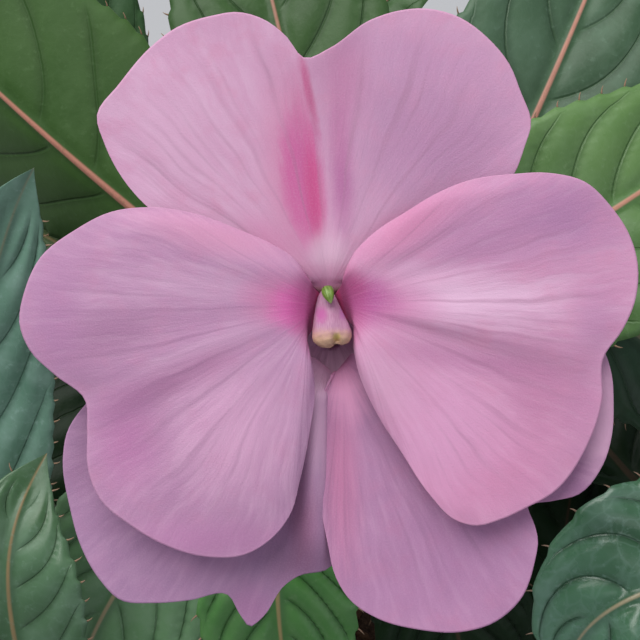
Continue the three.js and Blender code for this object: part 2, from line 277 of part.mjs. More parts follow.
// pot: tapered wall, collar, rounded lip, flat underside and a ring of drain holes
const innerR = (z) => POT_BASE_R - POT_WALL + (POT_NECK_R - POT_BASE_R) * z / POT_COLLAR_Z;
{
  const H = POT_HEIGHT, R = POT_RIM_R;
  const shell = toSolid(lathe([
    [0, 0], [POT_BASE_R - 1.5, 0], [POT_BASE_R, 1.5], [POT_NECK_R, POT_COLLAR_Z], [R - 1.4, POT_COLLAR_Z + 1.5],
    [R - 0.6, H - 5], [R, H - 3.4], [R, H - 1.2], [R - 1.2, H], [R - 3.4, H], [R - 4.4, H - 1.2],
    [innerR(POT_COLLAR_Z + 4), POT_COLLAR_Z + 4], [innerR(POT_FLOOR + 2), POT_FLOOR + 2],
    [innerR(POT_FLOOR) - 2, POT_FLOOR], [0, POT_FLOOR],
  ], 40));
  let pot = shell;
  for (let i = 0; i < DRAIN_HOLES; i++) {
    const a = 2 * Math.PI * i / DRAIN_HOLES;
    const drill = new THREE.CylinderGeometry(DRAIN_R, DRAIN_R, 12, 12).rotateX(Math.PI / 2)
      .translate(DRAIN_RING_R * Math.cos(a), DRAIN_RING_R * Math.sin(a), 0);
    pot = pot.subtract(toSolid(drill));
  }
  add(plant, 'pot', toGeometry(pot), 0x9c5134, 0.62);
}

// stems, and the potting mix with a socket for each
const stemCurves = Object.fromEntries(Object.entries(STEMS).map(([k, s]) => [k, curveOf(s.B)]));
{
  const g = lathe([
    [0, POT_FLOOR + 0.4], [innerR(POT_FLOOR) - 3, POT_FLOOR + 0.4], [innerR(POT_FLOOR + 3) - SOIL_GAP, POT_FLOOR + 3],
    [innerR(SOIL_Z - 1) - SOIL_GAP, SOIL_Z - 1], [innerR(SOIL_Z) - 2.4, SOIL_Z + 0.2],
    [44, SOIL_Z + SOIL_MOUND * 0.35], [30, SOIL_Z + SOIL_MOUND * 0.7], [15, SOIL_Z + SOIL_MOUND], [0, SOIL_Z + SOIL_MOUND],
  ], 32);
  const p = g.attributes.position;
  for (let i = 0; i < p.count; i++) {
    const x = p.getX(i), y = p.getY(i), z = p.getZ(i), r = Math.hypot(x, y);
    if (z > SOIL_Z && r > 5) p.setZ(i, z + 0.7 * Math.sin(x * 0.31 + 1.3) * Math.cos(y * 0.27 - 0.4));
  }
  let soil = toSolid(g);
  for (const [k, s] of Object.entries(STEMS)) {
    const B = s.B.map((q) => q.slice());
    const down = V3(B[1]).sub(V3(B[0])).normalize();
    B[0] = B[0].map((c, i) => c - down.getComponent(i) * SOCKET_GAP);
    soil = soil.subtract(toSolid(ringed(curveOf(B), even(STEM_STEPS, s.r0 + SOCKET_GAP, s.r1 + SOCKET_GAP), STEM_SIDES)));
  }
  add(plant, 'soil', toGeometry(soil), 0x2b1d14, 0.95);
}
for (const [k, s] of Object.entries(STEMS)) {
  add(plant, k, ringed(stemCurves[k], even(STEM_STEPS, s.r0, s.r1), STEM_SIDES), 0x7d3b35, 0.5, s.B[0]);
}

// leaves
for (const L of LEAVES) add(plant, L.name, blade(L), L.color, 0.42, L.B[0]);

// flower, built flat in its own frame: +Z out of the face, +Y to the top petal
const flower = new THREE.Group();
flower.position.set(...FLOWER_POS);
flower.rotation.x = rad(FLOWER_TILT);
plant.add(flower);
for (const [name, p] of Object.entries(PETALS)) add(flower, name, petal(p), p.color, 0.6);
{
  // hooded stamen column, leaning out over the spur's mouth
  const c = curveOf(COLUMN);
  add(flower, 'stamen_column', ringed(c, [
    [0, 0.35, 0.3], [0.05, 1.0, 0.8], [0.2, 1.25, 1.0], [0.42, 1.6, 1.15], [0.64, 2.0, 1.3], [0.82, 2.2, 1.3], [0.94, 1.9, 1.05], [1, 1.2, 0.6],
  ], 12, new THREE.Vector3(0, 0.2, 1)), 0xd9b3c4, 0.5);
  add(flower, 'ovary_tip', ringed(curveOf(OVARY), [
    [0, 0.2, 0.2], [0.12, 0.5, 0.34], [0.4, 0.6, 0.38], [0.7, 0.42, 0.3], [0.92, 0.18, 0.16], [1, 0.08, 0.08],
  ], 8, new THREE.Vector3(0, 0.2, 1)), 0x7fae3c, 0.4);
  // lower sepal: an open funnel that narrows into a long curved spur
  add(flower, 'spurred_sepal', ringed(curveOf(SPUR), [
    [0.17, 1.15, 1.15], [0.12, 1.6, 1.6], [0.07, 2.15, 2.2], [0.03, 2.7, 2.9], [0, 3.0, 3.5],
    [0, 3.5, 4.0], [0.04, 3.15, 3.4], [0.09, 2.55, 2.6], [0.16, 1.95, 1.95], [0.25, 1.5, 1.5], [0.38, 1.2, 1.2],
    [0.55, 1.0, 1.0], [0.72, 0.85, 0.85], [0.88, 0.75, 0.75], [0.97, 0.65, 0.65], [1, 0.35, 0.35],
  ], 12, new THREE.Vector3(0, 1, 0.02)), 0xc58fae, 0.55);
  for (const L of SEPALS) add(flower, L.name, blade(L, 0.35, 0.5, 0.4), 0x6f8f4a, 0.5);
  add(flower, 'pedicel', ringed(curveOf(PEDICEL), [[0, 0.7, 0.7], [0.03, 1.3, 1.3], [0.1, 1.2, 1.2], ...even(7, 1.1, 1.1).slice(1).map(([t, a, b]) => [0.1 + 0.9 * t, a, b])], 8,
    new THREE.Vector3(1, 0.1, 0.3)), 0x8a4a44, 0.5);
}

export default plant;
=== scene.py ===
# Potted new guinea impatiens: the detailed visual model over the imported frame. Metres, +Z up.
import bpy, bmesh, math, random
import numpy as np
from mathutils import Vector, Matrix


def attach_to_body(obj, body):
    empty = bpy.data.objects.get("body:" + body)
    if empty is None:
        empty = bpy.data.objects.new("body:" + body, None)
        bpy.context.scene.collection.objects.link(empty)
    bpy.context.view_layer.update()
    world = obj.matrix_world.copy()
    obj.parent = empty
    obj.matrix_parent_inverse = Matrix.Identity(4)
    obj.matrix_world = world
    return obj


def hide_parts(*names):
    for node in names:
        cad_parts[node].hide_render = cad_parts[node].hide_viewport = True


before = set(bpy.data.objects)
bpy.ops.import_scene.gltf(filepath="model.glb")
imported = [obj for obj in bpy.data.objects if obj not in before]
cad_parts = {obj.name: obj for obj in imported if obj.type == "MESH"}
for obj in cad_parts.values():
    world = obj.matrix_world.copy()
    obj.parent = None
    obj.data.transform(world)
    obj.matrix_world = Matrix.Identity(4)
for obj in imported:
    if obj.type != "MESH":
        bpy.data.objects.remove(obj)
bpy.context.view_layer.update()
scene = bpy.context.scene
scene.view_settings.view_transform = "Standard"
scene.view_settings.look = "None"
# midribs, outlines and curves shared with the solid model, in millimetres
STEMS = {
    "stem_main": ([[2, 2, 88], [5.4, -3.78, 118], [10.4, -12.28, 158.4], [12, -15, 198]], 5.2, 2.7),
    "stem_right": ([[24, -8, 88], [38.96, -16.16, 118], [60.96, -28.16, 144.96], [68, -32, 177]], 4.8, 2.6),
    "stem_front_left": ([[-14, -24, 88], [-22.5, -42.02, 118], [-35, -68.52, 121.92], [-39, -77, 141]], 4.8, 2.6),
    "stem_left": ([[-25, 3, 88], [-34.18, 4.7, 118], [-47.68, 7.2, 134.08], [-52, 8, 160]], 4.8, 2.6),
    "stem_back": ([[-8, 25, 88], [-10.04, 33.5, 118], [-13.04, 46, 137.92], [-14, 50, 166]], 4.8, 2.6),
    "stem_back_right": ([[18, 18, 88], [28.2, 24.8, 118], [43.2, 34.8, 135.36], [48, 38, 162]], 4.8, 2.6),
    "stem_front_right": ([[12, -26, 88], [19.48, -40.28, 118], [30.48, -61.28, 118.72], [34, -68, 136]], 4.6, 2.6),
}
# name: midrib curve, up direction at the base and the tip, petiole share, half width, fold, cup
LEAVES = {
    "leaf_main_01": ([[8.32, -10.61, 196.16], [-6.73, -12.31, 221.82], [-35.5, 10.87, 225.89], [-61.16, 42.88, 224.86]], [-0.337, -0.746, 0.574], [-0.337, -0.746, 0.574], 0.38, 17.5, -24, 0.1),
    "leaf_main_02": ([[8.26, -10.13, 189.38], [-8.64, -7.87, 199.05], [-33.26, 9.53, 202.26], [-42.9, 16.39, 198.88]], [0.01, -0.32, 0.947], [0.01, -0.32, 0.947], 0.22, 14, 16, 0.1),
    "leaf_main_03": ([[11.41, -9.61, 194.42], [3.71, 5.89, 215.9], [0.38, 24.3, 235.66], [-10.7, 66.68, 235.02]], [-0.017, -0.473, 0.881], [-0.017, -0.473, 0.881], 0.22, 15.5, 16, 0.1),
    "leaf_main_04": ([[14.96, -9.86, 193.09], [25.77, -1.96, 209.42], [37.99, 19.6, 227.22], [53.26, 60.62, 228.88]], [0.098, -0.492, 0.865], [0.098, -0.492, 0.865], 0.2, 17, 16, 0.1),
    "leaf_main_05": ([[16.27, -12.84, 198.3], [29.59, -5.59, 221.9], [37.06, -12.58, 229.51], [80.93, 29.45, 223.55]], [-0.054, -0.45, 0.891], [-0.054, -0.45, 0.891], 0.2, 15.5, 16, 0.1),
    "leaf_main_06": ([[16.57, -10.13, 189.38], [27.14, 4.53, 206.4], [60.63, 3.24, 206.39], [68.65, -18.7, 165.16]], [0.336, -0.384, 0.86], [0.336, -0.384, 0.86], 0.2, 14, 16, 0.1),
    "leaf_main_07": ([[9.34, -17.72, 191.71], [-6.65, -33.76, 195.45], [0.53, -42.89, 192.89], [1.38, -59.59, 153.76]], [-0.025, -0.669, 0.743], [-0.025, -0.669, 0.743], 0.25, 10.9, 16, 0.1),
    "leaf_main_08": ([[7.71, -11.5, 183.81], [-10.04, -19.43, 180.43], [-32.57, -29.62, 177.4], [-36.5, -54.4, 140.49]], [-0.111, -0.647, 0.754], [-0.111, -0.647, 0.754], 0.2, 15, 16, 0.1),
    "leaf_main_09": ([[15.3, -17.19, 179.07], [22.22, -26.17, 176.61], [27.08, -36.89, 169.52], [31.47, -55.49, 132.74]], [0.083, -0.754, 0.652], [0.083, -0.754, 0.652], 0.2, 12, 16, 0.1),
    "leaf_right_01": ([[73.16, -34.53, 185.93], [61.89, -43.96, 202.63], [38.09, -42.92, 202.9], [38.42, -51.91, 184.5]], [0.084, -0.247, 0.965], [0.084, -0.247, 0.965], 0.12, 14.3, 16, 0.1),
    "leaf_front_left_01": ([[-33.64, -71.05, 139.52], [-36.41, -43.33, 183.18], [-42.5, -43.12, 195.5], [-33.42, -22.56, 195.77]], [-0.001, -0.757, 0.653], [-0.001, -0.757, 0.653], 0.2, 10.5, 16, 0.1),
    "leaf_front_left_02": ([[-42.82, -74.29, 130.42], [-56.95, -54.64, 155.68], [-46.71, -2.76, 204.6], [-32.74, 2.91, 228.19]], [-0.029, -0.783, 0.621], [-0.029, -0.783, 0.621], 0.2, 13.2, 16, 0.1),
    "leaf_young_01": ([[11.45, -14.7, 201.86], [11.79, -14.57, 211.76], [13.02, -13.92, 216.69], [14.36, -12.16, 222.31]], [-0.169, -0.975, 0.145], [-0.169, -0.975, 0.145], 0.15, 5.5, 30, 0.1),
    "leaf_young_02": ([[15.27, -16.71, 199.42], [17.47, -22.73, 205.09], [20.14, -26.39, 208.7], [24.7, -28, 210.06]], [-0.763, -0.028, 0.646], [-0.763, -0.028, 0.646], 0.15, 5.5, 30, 0.1),
    "leaf_right_02": ([[70.76, -29.74, 172.2], [89.24, -22.13, 188.9], [106.58, -11.76, 202.69], [120.56, -2.76, 206.04]], [-0.447, -0.251, 0.858], [-0.447, -0.251, 0.858], 0.218, 15.41, 19.5, 0.051),
    "leaf_right_03": ([[63.92, -27.71, 171.33], [48.48, -7.37, 169.89], [37.43, 16.3, 166.37], [29.19, 36.28, 157.83]], [-0.06, 0.175, 0.983], [-0.06, 0.175, 0.983], 0.204, 18.38, 10, 0.079),
    "leaf_right_04": ([[63.48, -33.73, 160.06], [68.02, -66.13, 155.96], [67.74, -99.21, 146.58], [66.64, -126.39, 124.51]], [-0.019, -0.359, 0.933], [-0.019, -0.359, 0.933], 0.21, 17.94, 21.6, 0.108),
    "leaf_right_05": ([[60.39, -32.53, 162.96], [31.6, -54.97, 156.68], [2.31, -76.78, 142.64], [-21.75, -94.5, 109.97]], [-0.273, -0.391, 0.879], [-0.273, -0.391, 0.879], 0.235, 21.29, 21.9, 0.138),
    "leaf_front_left_03": ([[-42.41, -74.83, 137.57], [-61.74, -73.11, 150.22], [-81.01, -70.77, 161.35], [-96.77, -68.74, 166.32]], [0.475, 0.154, 0.866], [0.475, 0.154, 0.866], 0.191, 15, 16.6, 0.049),
    "leaf_front_left_04": ([[-36.49, -79.71, 138.67], [-26.8, -98.55, 155], [-18.6, -118.16, 169.35], [-12.16, -134.34, 175.66]], [-0.348, 0.415, 0.841], [-0.348, 0.415, 0.841], 0.203, 16.85, 17.1, 0.136),
    "leaf_front_left_05": ([[-39.79, -68.44, 129.67], [-66.55, -67.7, 140.94], [-93.28, -65.5, 146.91], [-115.13, -63.42, 137.35]], [0.082, -0.248, 0.965], [0.082, -0.248, 0.965], 0.214, 16.12, 21.3, 0.092),
    "leaf_front_left_06": ([[-39.63, -68.64, 133.76], [-59.86, -40.39, 129.67], [-84.66, -15.43, 117.14], [-105.79, 4.4, 83.87]], [-0.504, 0.127, 0.854], [-0.504, 0.127, 0.854], 0.228, 20.81, 11.7, 0.064),
    "leaf_left_01": ([[-53.48, 11.65, 157.89], [-64.78, 34.26, 172.05], [-72.98, 58.42, 184.25], [-79.13, 78.47, 188.86]], [-0.044, -0.434, 0.9], [-0.044, -0.434, 0.9], 0.218, 16.76, 17.4, 0.152),
    "leaf_left_02": ([[-53.69, 4.49, 155.32], [-64.63, -9.66, 170.52], [-77.89, -22, 183.48], [-89.16, -31.78, 187.95]], [0.324, 0.438, 0.839], [0.324, 0.438, 0.839], 0.225, 13.36, 19.1, 0.127),
    "leaf_left_03": ([[-51.64, 11.26, 147.9], [-69.26, 38.38, 144.57], [-83.15, 67.93, 137.2], [-93.83, 92.55, 120.13]], [-0.2, 0.222, 0.954], [-0.2, 0.222, 0.954], 0.185, 17.34, 10.6, 0.142),
    "leaf_left_04": ([[-51.64, 3.93, 146.41], [-74.52, -23.3, 142.76], [-97.15, -50.75, 132.61], [-115.61, -73.24, 106.55]], [-0.007, -0.455, 0.891], [-0.007, -0.455, 0.891], 0.217, 20.21, 12.3, 0.08),
    "leaf_left_05": ([[-44.56, 9.17, 146.96], [-15.31, 20.95, 149.34], [13.59, 33.59, 146.45], [37.18, 44.09, 129.7]], [0.276, -0.18, 0.944], [0.276, -0.18, 0.944], 0.216, 17.4, 19.8, 0.049),
    "leaf_back_01": ([[-11.16, 52.68, 162.9], [3.09, 69.23, 174.29], [16.75, 86.28, 184.68], [27.82, 100.33, 190.49]], [-0.236, -0.335, 0.912], [-0.236, -0.335, 0.912], 0.204, 13.8, 16.8, 0.075),
    "leaf_back_02": ([[-17.1, 52.01, 161.76], [-31.53, 63.89, 178.98], [-48.76, 72.37, 193.57], [-63.36, 78.69, 198.34]], [0.35, -0.488, 0.799], [0.35, -0.488, 0.799], 0.227, 14.93, 16.7, 0.099),
    "leaf_back_03": ([[-9.48, 49.5, 152.21], [22.84, 68.19, 156.19], [56.7, 84.22, 150.3], [84.68, 96.84, 118.54]], [0.319, 0.038, 0.947], [0.319, 0.038, 0.947], 0.208, 22.06, 16.4, 0.109),
    "leaf_back_04": ([[-17.47, 48.71, 151.16], [-45.61, 60.21, 159.89], [-73.32, 72.76, 161.71], [-95.92, 83.22, 144.34]], [0.032, 0.263, 0.964], [0.032, 0.263, 0.964], 0.183, 18.41, 15.7, 0.085),
    "leaf_back_05": ([[-14.97, 43.58, 154.57], [-26.3, 11.25, 162.27], [-36.98, -21.31, 160.19], [-45.61, -47.99, 131.81]], [-0.177, -0.181, 0.967], [-0.177, -0.181, 0.967], 0.22, 20.77, 18.3, 0.084),
    "leaf_back_right_01": ([[51.26, 37.51, 156.98], [71.99, 38.49, 175.15], [92.58, 42.43, 190.7], [109.4, 46.19, 196.27]], [-0.554, -0.052, 0.831], [-0.554, -0.052, 0.831], 0.221, 16.9, 16.6, 0.053),
    "leaf_back_right_02": ([[48.28, 32.99, 150.24], [71.97, 10.04, 148.43], [94.03, -14.59, 140.46], [111.78, -35.05, 117.14]], [0.033, -0.412, 0.911], [0.033, -0.412, 0.911], 0.221, 18.03, 10.2, 0.144),
    "leaf_back_right_03": ([[43.48, 40.09, 148.73], [35.07, 72.17, 143.54], [24.94, 103.81, 129.58], [16.33, 129.61, 94.28]], [-0.389, 0.39, 0.835], [-0.389, 0.39, 0.835], 0.201, 17.92, 12.4, 0.092),
    "leaf_back_right_04": ([[40.55, 35.59, 150.62], [8.28, 31.71, 165.92], [-24.19, 29.43, 174.12], [-50.79, 27.85, 161.49]], [0.123, -0.059, 0.991], [0.123, -0.059, 0.991], 0.196, 20.77, 13.5, 0.067),
    "leaf_front_right_01": ([[33.4, -70.3, 130.99], [36.85, -93.95, 135.22], [37.17, -118.07, 135.9], [36.87, -137.88, 126.78]], [0.166, -0.053, 0.985], [0.166, -0.053, 0.985], 0.225, 14.88, 14.3, 0.132),
    "leaf_front_right_02": ([[34.93, -63.34, 135.14], [40.34, -41.73, 146.65], [44.66, -19.85, 156.45], [48, -1.91, 159.8]], [-0.37, -0.277, 0.887], [-0.37, -0.277, 0.887], 0.223, 15.88, 19.9, 0.128),
    "leaf_front_right_03": ([[28.11, -65.14, 125.08], [17.01, -93.57, 123.61], [4.83, -121.59, 114.33], [-5.34, -144.44, 85.48]], [-0.303, -0.321, 0.898], [-0.303, -0.321, 0.898], 0.224, 16.97, 14.8, 0.106),
    "leaf_front_right_04": ([[28.15, -61.13, 130.39], [4.91, -39.36, 135.77], [-19.53, -18.87, 134.5], [-39.75, -2.34, 115.37]], [-0.033, 0.211, 0.977], [-0.033, 0.211, 0.977], 0.219, 19.41, 14.6, 0.16),
}
SEPALS = {
    "sepal_left": ([[-0.83, 1.65, -7.9], [-2.42, 1.83, -8.32], [-5.45, 2.72, -8.58], [-8.34, 2.74, -9.6]], [0, 0, 1], [0, 0, 1], 0.06, 2.3, 8, 0.1),
    "sepal_right": ([[3.19, 1.65, -7.9], [4.8, 2.09, -8.32], [7.81, 2.7, -8.58], [10.72, 2.98, -9.6]], [0, 0, 1], [0, 0, 1], 0.06, 2.3, 8, 0.1),
}
PETALS = {
    "petal_top": dict(claw=[-0.23, 4.3, 2.09, 4.42], zc=-5, zm=-2.2, zr=-1.8, crease=0.5, fold=0.5, rim=[
        [-2.28, 5.48], [-8.57, 7.77], [-14.28, 9.6], [-19.42, 12.68], [-24.56, 19.99], [-25.47, 23.42], [-23.07, 26.84], [-19.42, 31.19], [-16.56, 33.36], [-11.99, 34.84], [-9.71, 35.18], [-6.28, 34.27], [-4, 32.56], [-1.71, 29.93], [1.14, 31.07], [5.71, 34.27], [9.14, 35.41], [11.99, 35.64], [15.42, 34.84], [19.42, 31.98], [21.7, 29.13], [22.85, 26.27], [24.1, 22.28], [23.42, 19.99], [22.05, 16.45], [19.42, 13.48], [13.71, 10.51], [8.57, 7.77], [3.88, 5.48]]),
    "petal_left": dict(claw=[-0.7, 3.71, -1.62, -1.16], zc=-4.5, zm=1.2, zr=-0.2, crease=-0.5, fold=0.486, rim=[
        [-1.59, 5.32], [-2.72, 6.79], [-5.66, 8.72], [-9.06, 10.19], [-13.59, 11.89], [-19.25, 12.79], [-23.78, 12.23], [-27.74, 10.19], [-31.7, 7.02], [-33.4, 3.4], [-33.97, -0.57], [-32.84, -3.4], [-30, -6.23], [-26.61, -9.06], [-26.38, -12.45], [-26.27, -16.98], [-24.91, -20.38], [-21.51, -23.21], [-17.55, -25.48], [-13.02, -26.83], [-8.49, -26.61], [-5.66, -24.91], [-3.4, -22.08], [-2.26, -18.12], [-1.13, -12.45], [-0.57, -7.93], [-0.91, -4.76], [-1.25, -2.94]]),
    "petal_right": dict(claw=[2.43, 3.94, 3.83, -0.7], zc=-4.5, zm=1.4, zr=0.2, crease=-0.5, fold=0.51, rim=[
        [2.82, 5.65], [3.84, 7.57], [6.33, 10.05], [9.83, 12.31], [12.99, 14.23], [16.95, 15.82], [21.8, 16.49], [25.98, 16.61], [29.94, 15.59], [32.76, 12.99], [35.02, 9.6], [35.93, 6.21], [35.59, 2.26], [34.12, -1.13], [31.97, -4.29], [31.86, -9.04], [30.5, -13.56], [26.21, -19.66], [23.5, -21.13], [20.34, -22.59], [17.51, -23.27], [15.25, -22.59], [12.43, -19.77], [9.04, -14.69], [6.21, -10.17], [4.29, -5.65], [3.73, -2.94]]),
    "petal_lower_left": dict(claw=[-0.58, -4.44, 1.17, -5.73], zc=-6, zm=-5, zr=-5.2, crease=0.5, fold=0.5, rim=[
        [-2.91, -3.72], [-8.15, -4.19], [-13.96, -4.89], [-19.78, -5.59], [-24.44, -7.21], [-27.35, -9.89], [-29.32, -12.8], [-29.91, -16.29], [-29.09, -22.11], [-27.93, -26.18], [-25.6, -30.26], [-23.27, -32.58], [-19.2, -32.93], [-15.13, -32.58], [-10.71, -32], [-9.31, -34.33], [-8.15, -35.72], [-6.75, -34.68], [-4.07, -30.84], [-2.33, -29.67], [0.93, -28.86], [3.03, -26.76], [4.07, -22.69], [4.07, -17.46], [3.26, -11.64], [2.09, -7.91]]),
    "petal_lower_right": dict(claw=[2.1, -5.71, 3.5, -3.97], zc=-5.6, zm=-3, zr=-2.4, crease=0.5, fold=0.5, rim=[
        [1.38, -6.65], [0, -9.4], [-0.46, -14.9], [0, -20.63], [0.92, -25.79], [1.72, -29.23], [3.44, -32.09], [6.88, -34.38], [11.46, -35.53], [16.05, -35.76], [20.06, -34.61], [22.92, -32.09], [24.64, -27.51], [24.98, -25.21], [24.41, -22.92], [23.84, -21.55], [26.93, -20.74], [29.57, -20.06], [32.43, -16.62], [33.47, -13.18], [33.64, -9.63], [33.24, -5.5], [32.09, -2.87], [27.51, -2.06], [20.63, -2.29], [13.75, -2.75], [9.17, -3.21], [5.5, -3.44]]),
}
COLUMN = [[0.75, 3.22, -3], [0.72, 0.84, -2.13], [1.41, -1.42, -0.37], [1.47, -2.71, 0.5]]
OVARY = [[0.74, 3.76, -1.2], [0.91, 3.21, -0.39], [1.09, 2.57, -0.11], [1.24, 1.87, 0.1]]
SPUR = [[1.53, -3.18, -7.2], [1.53, -3.18, -21.2], [-7, -18.87, -18.87], [-12, -31.06, -19.51]]
PEDICEL = [[1.18, 2.13, -8.4], [1.18, 2.13, -21.4], [3.4, -11.23, -37.79], [3.4, -16.03, -47.17]]

# ------------------------------------------------------------------ small maths
MM = 0.001
V = lambda a: np.array(a, float)


def unit(a):
    return a / np.maximum(np.linalg.norm(a, axis=-1, keepdims=True), 1e-12)


def bez(B, t):
    t = np.asarray(t, float)[..., None]
    u = 1 - t
    return u**3 * B[0] + 3 * u * u * t * B[1] + 3 * u * t * t * B[2] + t**3 * B[3]


def dbez(B, t):
    t = np.asarray(t, float)[..., None]
    u = 1 - t
    return 3 * u * u * (B[1] - B[0]) + 6 * u * t * (B[2] - B[1]) + 3 * t * t * (B[3] - B[2])


def sm(x, a, b):
    x = np.clip((x - a) / (b - a), 0, 1)
    return x * x * (3 - 2 * x)


LP, LQ = 0.85, 1.06
LN = (LP / (LP + LQ)) ** LP * (LQ / (LP + LQ)) ** LQ


def planform(t):
    t = np.clip(t, 0, 1)
    return t**LP * (1 - t) ** LQ / LN


def hashf(i, k=0):
    return (math.sin(i * 127.1 + k * 311.7 + 0.5) * 43758.5453) % 1.0


# ------------------------------------------------------------------ mesh maker
def mesh_object(name, verts, faces, mats, matidx=None, uvs=None, smooth=True):
    """verts in mm; uvs: name -> per-vertex (n, 2)"""
    me = bpy.data.meshes.new(name)
    me.from_pydata((np.asarray(verts) * MM).tolist(), [], [tuple(int(i) for i in f) for f in faces])
    if uvs:
        lv = np.zeros(len(me.loops), np.int32)
        me.loops.foreach_get("vertex_index", lv)
        for k, arr in uvs.items():
            layer = me.uv_layers.new(name=k)
            layer.data.foreach_set("uv", np.asarray(arr, np.float32)[lv].ravel())
    for m in mats:
        me.materials.append(m)
    if matidx is not None:
        me.polygons.foreach_set("material_index", np.asarray(matidx, np.int32))
    me.polygons.foreach_set("use_smooth", np.full(len(me.polygons), smooth, bool))
    me.update()
    bm = bmesh.new()
    bm.from_mesh(me)
    bmesh.ops.recalc_face_normals(bm, faces=bm.faces)
    bm.to_mesh(me)
    bm.free()
    o = bpy.data.objects.new(name, me)
    scene.collection.objects.link(o)
    return o


def adopt(o, nodes):
    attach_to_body(o, "root")
    if nodes:
        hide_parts(*([nodes] if isinstance(nodes, str) else nodes))
    return o


class Build:
    """collects several closed skins into one mesh, with uv layers and material numbers"""

    def __init__(self, layers):
        self.v, self.f, self.m, self.n = [], [], [], 0
        self.uv = {k: [] for k in layers}

    def add(self, verts, faces, mat, uvs):
        verts = np.asarray(verts, float).reshape(-1, 3)
        self.v.append(verts)
        self.f += [tuple(int(i) + self.n for i in f) for f in faces]
        self.m += list(mat) if hasattr(mat, "__len__") else [mat] * len(faces)
        for k in self.uv:
            self.uv[k].append(np.broadcast_to(np.asarray(uvs[k], float), (len(verts), 2)))
        self.n += len(verts)

    def make(self, name, mats):
        return mesh_object(name, np.vstack(self.v), self.f, mats, self.m, {k: np.vstack(a) for k, a in self.uv.items()})


def tube_rings(P, ra, rb=None, sides=16, ref=None, wob=None):
    """closed tube through the points P (n,3) with half widths ra, rb; returns verts, faces, (along, around)"""
    P = np.asarray(P, float)
    n = len(P)
    ra = np.broadcast_to(np.asarray(ra, float), (n,))
    rb = ra if rb is None else np.broadcast_to(np.asarray(rb, float), (n,))
    T = unit(np.gradient(P, axis=0))
    ref = V([0.31, 0.95, 0.05]) if ref is None else V(ref)
    a = unit(np.cross(T, ref))
    b = np.cross(T, a)
    q = np.arange(sides) * 2 * math.pi / sides
    R = np.ones((n, sides)) if wob is None else wob
    rings = P[:, None] + a[:, None] * (ra[:, None] * np.cos(q) * R)[..., None] + b[:, None] * (rb[:, None] * np.sin(q) * R)[..., None]
    verts = np.vstack([rings.reshape(-1, 3), P[:1], P[-1:]])
    faces = []
    for i in range(n - 1):
        for j in range(sides):
            k = (j + 1) % sides
            faces.append((i * sides + j, i * sides + k, (i + 1) * sides + k, (i + 1) * sides + j))
    c0, c1 = n * sides, n * sides + 1
    for j in range(sides):
        k = (j + 1) % sides
        faces.append((c0, k, j))
        faces.append((c1, (n - 1) * sides + j, (n - 1) * sides + k))
    L = np.concatenate([[0], np.cumsum(np.linalg.norm(np.diff(P, axis=0), axis=1))])
    al = np.repeat(L, sides)
    ar = np.tile(np.abs(q / math.pi - 1), n)
    uv = np.stack([np.concatenate([al, [0, L[-1]]]) / 100, np.concatenate([ar, [0, 0]])], 1)
    return verts, faces, uv


